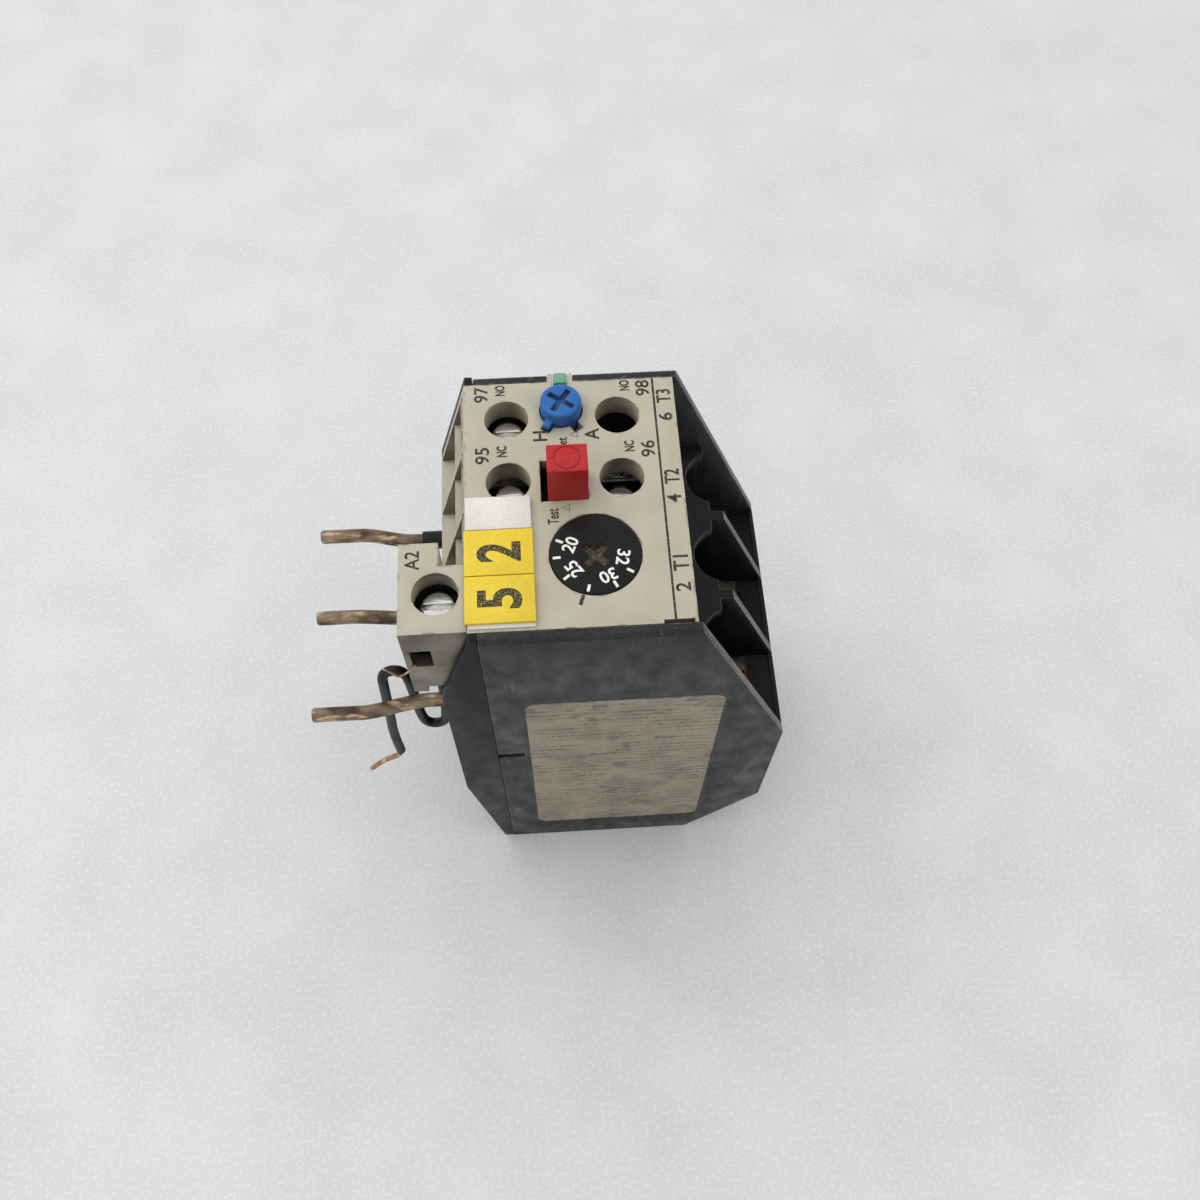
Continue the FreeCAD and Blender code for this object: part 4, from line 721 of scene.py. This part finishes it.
@dataclass
class TerminalScrews:
    """Slotted screws with rolled threads under their heads, and their square washers.

    Attributes:
        rounding: Width of the rounded edges in millimetres.
        neck_share: Height of the neck below the head, as a share of the screw.
        shank_share: Most that the shank's radius can be, as a share of the head's.
        backed_out: How much further out each loosened screw stands with its washer, in
            millimetres, by terminal number.
    """

    rounding: float = 0.12
    neck_share: float = 0.6
    shank_share: float = 0.6
    backed_out: tuple[tuple[str, float], ...] = (("95", 3.2), ("96", 4.6), ("97", 4.2))

    def build(self) -> None:
        """Dress each screw and washer."""
        steel = [entry["node"] for entry in frame["record"]["subparts"]
                 if entry["material_slot"] == "zinc_steel"]
        for node in [name for name in steel if name != "range_lever"]:
            piece = softened(node, self.rounding)
            # main screws and washers take tarnish with painted shade
            plating = Finish.tarnished_steel if "main" in node else Finish.zinc_steel
            if "screw" in node:
                self.dress_screw(piece, node, plating)
            else:
                dress(piece, plating.material())
            self.back_out(piece, node)

    def back_out(self, piece: bpy.types.Object, node: str) -> None:
        """Stand a loosened screw's head, or its washer, further out on a longer neck.

        Args:
            piece: The screw or the washer.
            node: Its CAD node.
        """
        still = self.neck_of(node) if "screw" in node else -math.inf
        lift = dict(self.backed_out).get(node[-2:], 0.0) * MM
        for vertex in piece.data.vertices:
            vertex.co.z += lift if vertex.co.z > still else 0.0

    def neck_of(self, node: str) -> float:
        """Level of a screw's neck, in metres."""
        low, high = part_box(node)
        return low.z + self.neck_share * (high.z - low.z)

    def dress_screw(self, piece: bpy.types.Object, node: str, plating: Finish) -> None:
        """Give the head plain plating and the shank below it a thread.

        Args:
            piece: The screw.
            node: Its CAD node.
            plating: Finish of the head.
        """
        dress(piece, plating.material(), Finish.threaded_steel.material())
        low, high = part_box(node)
        axis = (low + high) / 2
        shank = self.shank_share * (high.x - low.x) / 2
        neck = self.neck_of(node)
        for face in piece.data.polygons:
            reach = (face.center - axis).to_2d().length
            face.material_index = int(reach < shank and face.center.z < neck)


# ---------------------------------------------------------------- printing

@dataclass(frozen=True)
class Mark:
    """One printed word, number or symbol.

    Attributes:
        text: What it says, or "" for an open triangle.
        x: Centre along X.
        y: Centre along Y.
        tall: Height of the letters.
        wide: Length along the line.
        turn: Angle of the line from +X, in radians.
        bold: Extra stroke width as a share of the height.
    """

    text: str
    x: float
    y: float
    tall: float
    wide: float
    turn: float = UPWARDS
    bold: float = 0.0

    def lay(self, work: bmesh.types.BMesh, level: float) -> None:
        """Add the mark to a bmesh at a level.

        Args:
            work: Bmesh that collects the print.
            level: Height of the printed face in millimetres.
        """
        mesh = self.letters() if self.text else self.triangle()
        corners = [vertex.co for vertex in mesh.vertices]
        low = Vector((min(c.x for c in corners), min(c.y for c in corners), 0))
        high = Vector((max(c.x for c in corners), max(c.y for c in corners), 0))
        size = high - low
        fit = Matrix.Diagonal((self.wide * MM / size.x, self.tall * MM / size.y, 1, 1))
        mesh.transform(Matrix.Translation((self.x * MM, self.y * MM, level * MM))
                       @ Matrix.Rotation(self.turn, 4, "Z") @ fit
                       @ Matrix.Translation(-(low + high) / 2))
        work.from_mesh(mesh)
        bpy.data.meshes.remove(mesh)

    def letters(self) -> bpy.types.Mesh:
        """Make the text's mesh at any size.

        Returns:
            The flat mesh.
        """
        curve = bpy.data.curves.new("lettering", "FONT")
        curve.body = self.text
        curve.offset = self.bold
        curve.resolution_u = 4
        holder = bpy.data.objects.new("lettering", curve)
        mesh = bpy.data.meshes.new_from_object(holder)
        bpy.data.objects.remove(holder)
        bpy.data.curves.remove(curve)
        return mesh

    def triangle(self) -> bpy.types.Mesh:
        """Make an open triangle that points along the line.

        Returns:
            The flat mesh.
        """
        shape = bmesh.new()
        bmesh.ops.create_circle(shape, cap_ends=True, radius=1.0, segments=3)
        rim = bmesh.ops.inset_individual(shape, faces=shape.faces[:], thickness=0.2)
        inner = [face for face in shape.faces if face not in rim["faces"]]
        bmesh.ops.delete(shape, geom=inner, context="FACES")
        mesh = bpy.data.meshes.new("triangle")
        shape.to_mesh(mesh)
        shape.free()
        return mesh


def polar(angle: float, reach: float) -> Vector:
    """Level vector of a length at an angle from +X."""
    return Vector((math.cos(angle), math.sin(angle), 0)) * reach


def print_bar(work: bmesh.types.BMesh, centre: Vector, length: float, width: float,
              turn: float) -> None:
    """Add a printed bar.

    Args:
        work: Bmesh that collects the print.
        centre: Middle of the bar in millimetres.
        length: Length along the turned X axis.
        width: Width across it.
        turn: Angle from +X in radians.
    """
    place = (Matrix.Translation(centre * MM) @ Matrix.Rotation(turn, 4, "Z")
             @ Matrix.Diagonal((length * MM, width * MM, 1, 1)))
    bmesh.ops.create_grid(work, x_segments=1, y_segments=1, size=0.5, matrix=place)


def lay_print(work: bmesh.types.BMesh, name: str, body: str, finish: Finish) -> None:
    """Finish a layer of print and ride it on its body.

    Args:
        work: Bmesh with the print.
        name: Name of the piece.
        body: Body that it rides on.
        finish: Its finish.
    """
    piece = finish_mesh(work, name, smooth=False)
    dress(piece, finish.material())
    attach(piece, body)


@dataclass
class PanelPrint:
    """Terminal numbers, control letters and pole names on the front panel."""

    line_x: float = 13.0
    pole_x: float = 14.8
    line_width: float = 0.4
    line_length: float = 50.2
    index_angle: float = math.radians(252)
    index_reach: float = 9.2
    index_size: tuple[float, float] = (2.0, 0.65)
    number_offset: float = 4.8
    use_offset: float = 1.4

    def build(self) -> None:
        """Print the panel."""
        work = bmesh.new()
        level = top_of("base_housing") + PRINT_LIFT
        for mark in self.marks():
            mark.lay(work, level)
        print_bar(work, Vector((self.line_x, 0.2, level)), self.line_length,
                  self.line_width, UPWARDS)
        dial = centre_of("setting_dial")
        reach = polar(self.index_angle, self.index_reach)
        print_bar(work, Vector((dial.x, dial.y, level)) + reach, *self.index_size,
                  self.index_angle)
        lay_print(work, "panel_print", "housing", Finish.black_ink)

    def marks(self) -> list[Mark]:
        """List the marks on the panel and on the coil block.

        Returns:
            The marks.
        """
        marks = []
        for number, use in (("95", "NC"), ("96", "NC"), ("97", "NO"), ("98", "NO")):
            hole = centre_of(f"terminal_screw_{number}")
            side = -1 if number in ("95", "97") else 1
            outer = hole.x + side * self.number_offset + 0.3
            inner = hole.x + side * self.use_offset + 0.4
            marks += [Mark(number, outer, hole.y + 5.75, 2.6, 3.5, bold=0.014),
                      Mark(use, inner, hole.y + 6.5, 1.85, 2.35, bold=0.035)]
        for number, pole in (("1", "2"), ("2", "4"), ("3", "6")):
            middle = centre_of(f"main_screw_{number}").y
            marks += [Mark(pole, self.pole_x, middle - 1.1, 2.6, 1.7, bold=0.02),
                      Mark(f"T{number}", self.pole_x, middle + 3.5, 2.7, 3.1, bold=0.02)]
        return marks + [
            Mark("H", -8.25, 13.4, 2.6, 2.2, bold=0.02),
            Mark("A", 1.15, 13.35, 2.6, 2.5, bold=0.02),
            Mark("Reset", -4.3, 10.75, 1.8, 4.3, bold=0.025),
            Mark("", -2.2, 13.5, 1.5, 1.5),
            Mark("Test", -6.6, -3.65, 2.0, 3.2, bold=0.02),
            Mark("", -4.35, -1.95, 1.4, 1.4),
            Mark("A2", -31.15, -11.15, 2.5, 3.7, bold=0.014)]


@dataclass
class DialPrint:
    """Scale of the setting dial, which turns with it."""

    tick_reach: float = 6.75
    tick_size: tuple[float, float] = (1.35, 0.5)
    number_reach: float = 4.75
    number_size: tuple[float, float] = (2.35, 3.0)

    def build(self) -> None:
        """Print the dial."""
        work = bmesh.new()
        dial = centre_of("setting_dial")
        level = top_of("setting_dial") + PRINT_LIFT
        for angle in (155.6, 183.6, 219.5, 256.5, 296.9, 328.1):
            turn = math.radians(angle)
            print_bar(work, Vector((dial.x, dial.y, level)) + polar(turn, self.tick_reach),
                      *self.tick_size, turn)
        for text, angle in (("20", 154.7), ("25", 215.4), ("30", 293.3), ("32", 348.7)):
            turn = math.radians(angle)
            place = dial + polar(turn, self.number_reach)
            Mark(text, place.x, place.y, *self.number_size, turn - UPWARDS, 0.02).lay(
                work, level)
        lay_print(work, "dial_print", "dial", Finish.white_ink)


@dataclass
class TagNumerals:
    """Plain numerals on the two yellow marker tags."""

    size: tuple[float, float] = (7.6, 3.9)

    def build(self) -> None:
        """Print the tags."""
        work = bmesh.new()
        level = top_of("yellow_tags") + PRINT_LIFT
        low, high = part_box("yellow_tags")
        middle = (low.x + high.x) / (2 * MM)
        half = (high.y - low.y) / (4 * MM)
        for text, y in (("2", high.y / MM - half), ("5", low.y / MM + half)):
            Mark(text, middle, y, *self.size, bold=0.03).lay(work, level)
        lay_print(work, "tag_numerals", "housing", Finish.tag_ink)


# ---------------------------------------------------------------- pins and lead

def smooth_curve(name: str, points: list, steps: int) -> bpy.types.Curve:
    """Make a curve of one smooth line.

    Args:
        name: Name of the curve.
        points: Control points.
        steps: Steps between two points.

    Returns:
        The curve.
    """
    curve = bpy.data.curves.new(name, "CURVE")
    curve.dimensions = "3D"
    curve.resolution_u = steps
    spline = curve.splines.new("NURBS")
    spline.points.add(len(points) - 1)
    for point, place in zip(spline.points, points):
        point.co = (*place, 1)
    spline.order_u = 3
    spline.use_endpoint_u = True
    return curve


@dataclass
class ContactPin:
    """Round copper pin, bent a little and dented where clamps have held it.

    Attributes:
        node: CAD node that it stands for.
        route: Points of its line in the plane of the pins, from the inside to the tip.
        dents: Pairs of a place along X and a depth, in millimetres.
        dent_width: How far a dent reaches each way, in millimetres.
        tip_round: Length and depth of the rounding at the tip, in millimetres.
        uneven: Most that the drawn surface departs from round, in millimetres.
    """

    node: str
    route: tuple[tuple[float, float], ...]
    dents: tuple[tuple[float, float], ...]
    radius: float = 1.47
    dent_width: float = 1.1
    tip_round: tuple[float, float] = (0.3, 0.2)
    uneven: float = 0.035
    sides: int = 24
    stations: int = 110

    def build(self) -> None:
        """Loft the pin along its line."""
        level = centre_of(self.node).z
        line = self.line()
        work = bmesh.new()
        ring = bmesh.ops.create_circle(work, cap_ends=False, radius=1.0, segments=self.sides)
        edges = work.edges[:]
        rings = [ring["verts"]]
        for _ in line[1:]:
            grown = bmesh.ops.extrude_edge_only(work, edges=edges)["geom"]
            edges = [item for item in grown if isinstance(item, bmesh.types.BMEdge)]
            fresh = [item for item in grown if isinstance(item, bmesh.types.BMVert)]
            rings.append(fresh)
        for verts, point, ahead in zip(rings, line, line[1:] + [line[-1] * 2 - line[-2]]):
            self.shape_ring(verts, point, (ahead - point).normalized(), level)
        bmesh.ops.holes_fill(work, edges=[edge for edge in work.edges if edge.is_boundary],
                             sides=0)
        bmesh.ops.recalc_face_normals(work, faces=work.faces)
        piece = finish_mesh(work, f"{self.node}_rod")
        dress(piece, Finish.aged_copper.material())
        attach(piece, body_of_node(self.node))
        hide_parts(self.node)

    def line(self) -> list[Vector]:
        """Space stations evenly along the smooth line of the route.

        Returns:
            The stations, in millimetres.
        """
        curve = smooth_curve("pin_line", [(*point, 0) for point in self.route], 40)
        holder = bpy.data.objects.new("pin_line", curve)
        mesh = bpy.data.meshes.new_from_object(holder)
        points = [vertex.co.copy() for vertex in mesh.vertices]
        bpy.data.objects.remove(holder)
        bpy.data.meshes.remove(mesh)
        start, end = points[0].x, points[-1].x
        line = []
        for step in range(self.stations + 1):
            x = start + (end - start) * step / self.stations
            before = max(i for i, p in enumerate(points[:-1]) if p.x >= x - 1e-6)
            first, second = points[before], points[before + 1]
            share = (x - first.x) / (second.x - first.x)
            line.append(first.lerp(second, share))
        return line

    def shape_ring(self, verts: list[bmesh.types.BMVert], point: Vector, ahead: Vector,
                   level: float) -> None:
        """Put one ring in place, pressed flat where a dent is.

        Args:
            verts: The ring's vertices.
            point: Its centre in the plane of the pins.
            ahead: Direction of the line there.
            level: Height of the pins.
        """
        side = Vector((-ahead.y, ahead.x, 0))
        flat = sum(depth * math.exp(-((point.x - x) / self.dent_width) ** 2)
                   for x, depth in self.dents)
        length, depth = self.tip_round
        tip = max(0.0, 1 - (point.x - self.route[-1][0]) / length) * depth
        for index, vertex in enumerate(verts):
            angle = 2 * math.pi * index / len(verts)
            uneven = self.uneven * noise.noise(Vector((point.x * 0.7, 2 * math.cos(angle),
                                                       2 * math.sin(angle))))
            reach = self.radius - abs(uneven) - tip
            across, up = reach * math.cos(angle), reach * math.sin(angle)
            up = min(up, self.radius - flat)
            vertex.co = (point + side * across + Vector((0, 0, level + up))) * MM


@dataclass
class CoilLead:
    """Insulated lead hooked under the coil block, with its bare copper end."""

    diameter: float = 2.1
    bare_diameter: float = 1.2
    length: float = 121.1
    route: tuple[tuple[float, float, float], ...] = (
        (-30.6, -14.6, 90.0), (-30.5, -14.9, 76.0), (-30.7, -15.1, 63.0),
        (-31.3, -15.2, 54.5), (-32.1, -15.2, 47.2), (-36.4, -15.0, 46.8),
        (-37.1, -14.8, 55.0), (-37.0, -14.7, 66.0), (-37.5, -14.8, 75.4),
        (-42.0, -15.0, 75.0), (-42.5, -15.1, 66.0), (-43.4, -15.2, 52.0),
        (-44.2, -15.2, 41.0), (-44.0, -15.1, 31.2))
    bare_route: tuple[tuple[float, float, float], ...] = (
        (-44.0, -15.1, 31.6), (-43.97, -15.08, 29.6), (-45.6, -15.0, 27.2),
        (-48.9, -14.8, 24.4), (-52.6, -14.9, 19.2))

    def build(self) -> None:
        """Run the lead and its bare end."""
        bare = self.run("lead_conductor_wire", self.bare_route, self.bare_diameter,
                        Finish.copper)
        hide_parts("lead_conductor")
        lead = self.run("coil_lead_cord", self.route, self.diameter, Finish.lead_insulation)
        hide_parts("coil_lead")
        [value * MM for value in self.route[0]]

    def run(self, name: str, route: tuple, diameter: float,
            finish: Finish) -> bpy.types.Object:
        """Round wire along a smooth line.

        Args:
            name: Name of the piece.
            route: Control points in millimetres.
            diameter: Diameter in millimetres.
            finish: Its finish.

        Returns:
            The curve object, riding on the housing.
        """
        curve = smooth_curve(name, [[value * MM for value in point] for point in route], 10)
        curve.bevel_depth = diameter * MM / 2
        curve.bevel_resolution = 6
        curve.use_fill_caps = True
        curve.materials.append(finish.material())
        piece = add_object(name, curve)
        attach(piece, "housing")
        return piece


# ---------------------------------------------------------------- plain nodes and studio

def dress_other_nodes() -> None:
    """Give every CAD node that is still shown the finish of its material slot, but the load bars
    their copper with painted shade.
    """
    # the load bars take copper painted dark as shade
    shade_painted = {"load_bars": Finish.tarnished_copper}
    for entry in frame["record"]["subparts"]:
        shown = frame["nodes"][entry["node"]]
        if shown.hide_render:
            continue
        finish = shade_painted.get(entry["node"], Finish[entry["material_slot"]])
        for slot in shown.material_slots:
            slot.material = finish.material()


@dataclass
class Studio:
    """Pale table, soft light and the camera.

    Attributes:
        camera_place: Camera position in millimetres.
        aim: Direction that it looks in.
        lens: Focal length for a 36 mm wide sensor.
    """

    camera_place: tuple[float, float, float] = (-6.89, -111.68, 290.85)
    aim: tuple[float, float, float] = (0.03691, 0.45411, -0.89018)
    down: tuple[float, float, float] = (-0.05086, -0.88878, -0.45550)
    lens: float = 35.82
    table_side: float = 4000.0
    sky: str = "#FFFFFF"
    backdrop: str = "#DDDEDF"
    lamp_aim: tuple[float, float, float] = (0, 0, 60)
    brightest: tuple[float, float, float] = (-0.12, 0.28, 0.95)
    bright: float = 1.35
    dim: float = 0.16

    def build(self) -> None:
        """Set up the table, lamps, world and camera."""
        self.table()
        self.world()
        self.lamp("key_softbox", (-430, 230, 600), 480, 0.55)
        self.lamp("fill_softbox", (-260, -520, 420), 420, 0.18)
        self.camera()

    def camera(self) -> None:
        """Place the camera."""
        ahead = Vector(self.aim).normalized()
        lower = Vector(self.down).normalized()
        right = lower.cross(ahead)
        turn = Matrix((right, -lower, -ahead)).transposed().to_4x4()
        data = bpy.data.cameras.new("camera")
        data.sensor_width = 36.0
        data.lens = self.lens
        data.clip_start = 0.01
        camera = add_object("camera", data)
        camera.matrix_world = Matrix.Translation(Vector(self.camera_place) * MM) @ turn
        bpy.context.scene.camera = camera

    def table(self) -> None:
        """Lay the table top under the relay."""
        work = bmesh.new()
        bmesh.ops.create_grid(work, x_segments=1, y_segments=1, size=self.table_side * MM / 2)
        table = finish_mesh(work, "table_top", smooth=False)
        dress(table, Finish.floor.material())

    def lamp(self, name: str, place: tuple[float, float, float], side: float,
             power: float) -> None:
        """Hang a square soft lamp that faces the relay.

        Args:
            name: Name of the lamp.
            place: Its centre in millimetres.
            side: Width of the lamp in millimetres.
            power: Power in watts.
        """
        data = bpy.data.lights.new(name, "AREA")
        data.shape = "SQUARE"
        data.size = side * MM
        data.energy = power
        lamp = add_object(name, data)
        aim = Vector(self.lamp_aim) - Vector(place)
        lamp.matrix_world = (Matrix.Translation(Vector(place) * MM)
                             @ aim.to_track_quat("-Z", "Y").to_matrix().to_4x4())

    def world(self) -> None:
        """Light from all round, with a plain pale background for the camera."""
        world = bpy.data.worlds.new("studio")
        world.use_nodes = True
        tree = world.node_tree
        tree.nodes.clear()
        path = add_node(tree, "ShaderNodeLightPath")
        seen = path.outputs["Is Camera Ray"]
        for ray in ("Is Glossy Ray", "Is Transmission Ray"):
            seen = add_node(tree, "ShaderNodeMath", {0: seen, 1: path.outputs[ray]},
                            operation="MAXIMUM").outputs[0]
        around = add_node(tree, "ShaderNodeTexCoord").outputs["Generated"]
        height = add_node(tree, "ShaderNodeVectorMath", {0: around, 1: self.brightest},
                          operation="DOT_PRODUCT")
        glow = add_node(tree, "ShaderNodeMapRange", {
            "Value": height.outputs["Value"], "From Min": -0.1, "From Max": 1.0,
            "To Min": self.dim, "To Max": self.bright}, interpolation_type="SMOOTHSTEP")
        light = add_node(tree, "ShaderNodeBackground", {
            "Color": linear(self.sky), "Strength": glow.outputs["Result"]})
        pale = add_node(tree, "ShaderNodeBackground", {
            "Color": linear(self.backdrop), "Strength": 1.0})
        both = add_node(tree, "ShaderNodeMixShader", {
            0: seen, 1: light.outputs[0], 2: pale.outputs[0]})
        add_node(tree, "ShaderNodeOutputWorld", {0: both.outputs[0]})
        bpy.context.scene.world = world


def main() -> None:
    """Build every part of the scene in order."""
    logging.basicConfig(level=logging.INFO, format="%(message)s")
    bpy.context.scene.view_settings.view_transform = "Standard"
    steps = [
        Studio(),
        CoilLead(),
        ContactPin("contact_pin_1", ((-11.45, -18.5), (-30.0, -18.5), (-35.5, -18.5),
                                     (-44.5, -20.5), (-48.5, -20.5), (-56.4, -20.5)),
                   ((-38.5, 0.25), (-47.5, 0.35), (-52.0, 0.3))),
        ContactPin("contact_pin_2", ((-11.45, 0.0), (-34.0, 0.0), (-38.0, 0.0),
                                     (-47.5, 1.0), (-50.5, 1.0), (-56.4, 1.0)),
                   ((-43.0, 0.4), (-51.0, 0.45))),
        ContactPin("contact_pin_3", ((-11.45, 18.5), (-34.5, 18.5), (-38.5, 18.5),
                                     (-46.0, 20.5), (-49.5, 20.5), (-56.4, 20.5)),
                   ((-44.5, 0.4), (-50.0, 0.2))),
        Casing(),
        Controls(),
        TerminalScrews(),
        PanelPrint(),
        DialPrint(),
        TagNumerals(),
    ]
    for step in steps:
        step.build()
        LOG.info("built %s", type(step).__name__)
    dress_other_nodes()


if __name__ == "__main__":
    main()
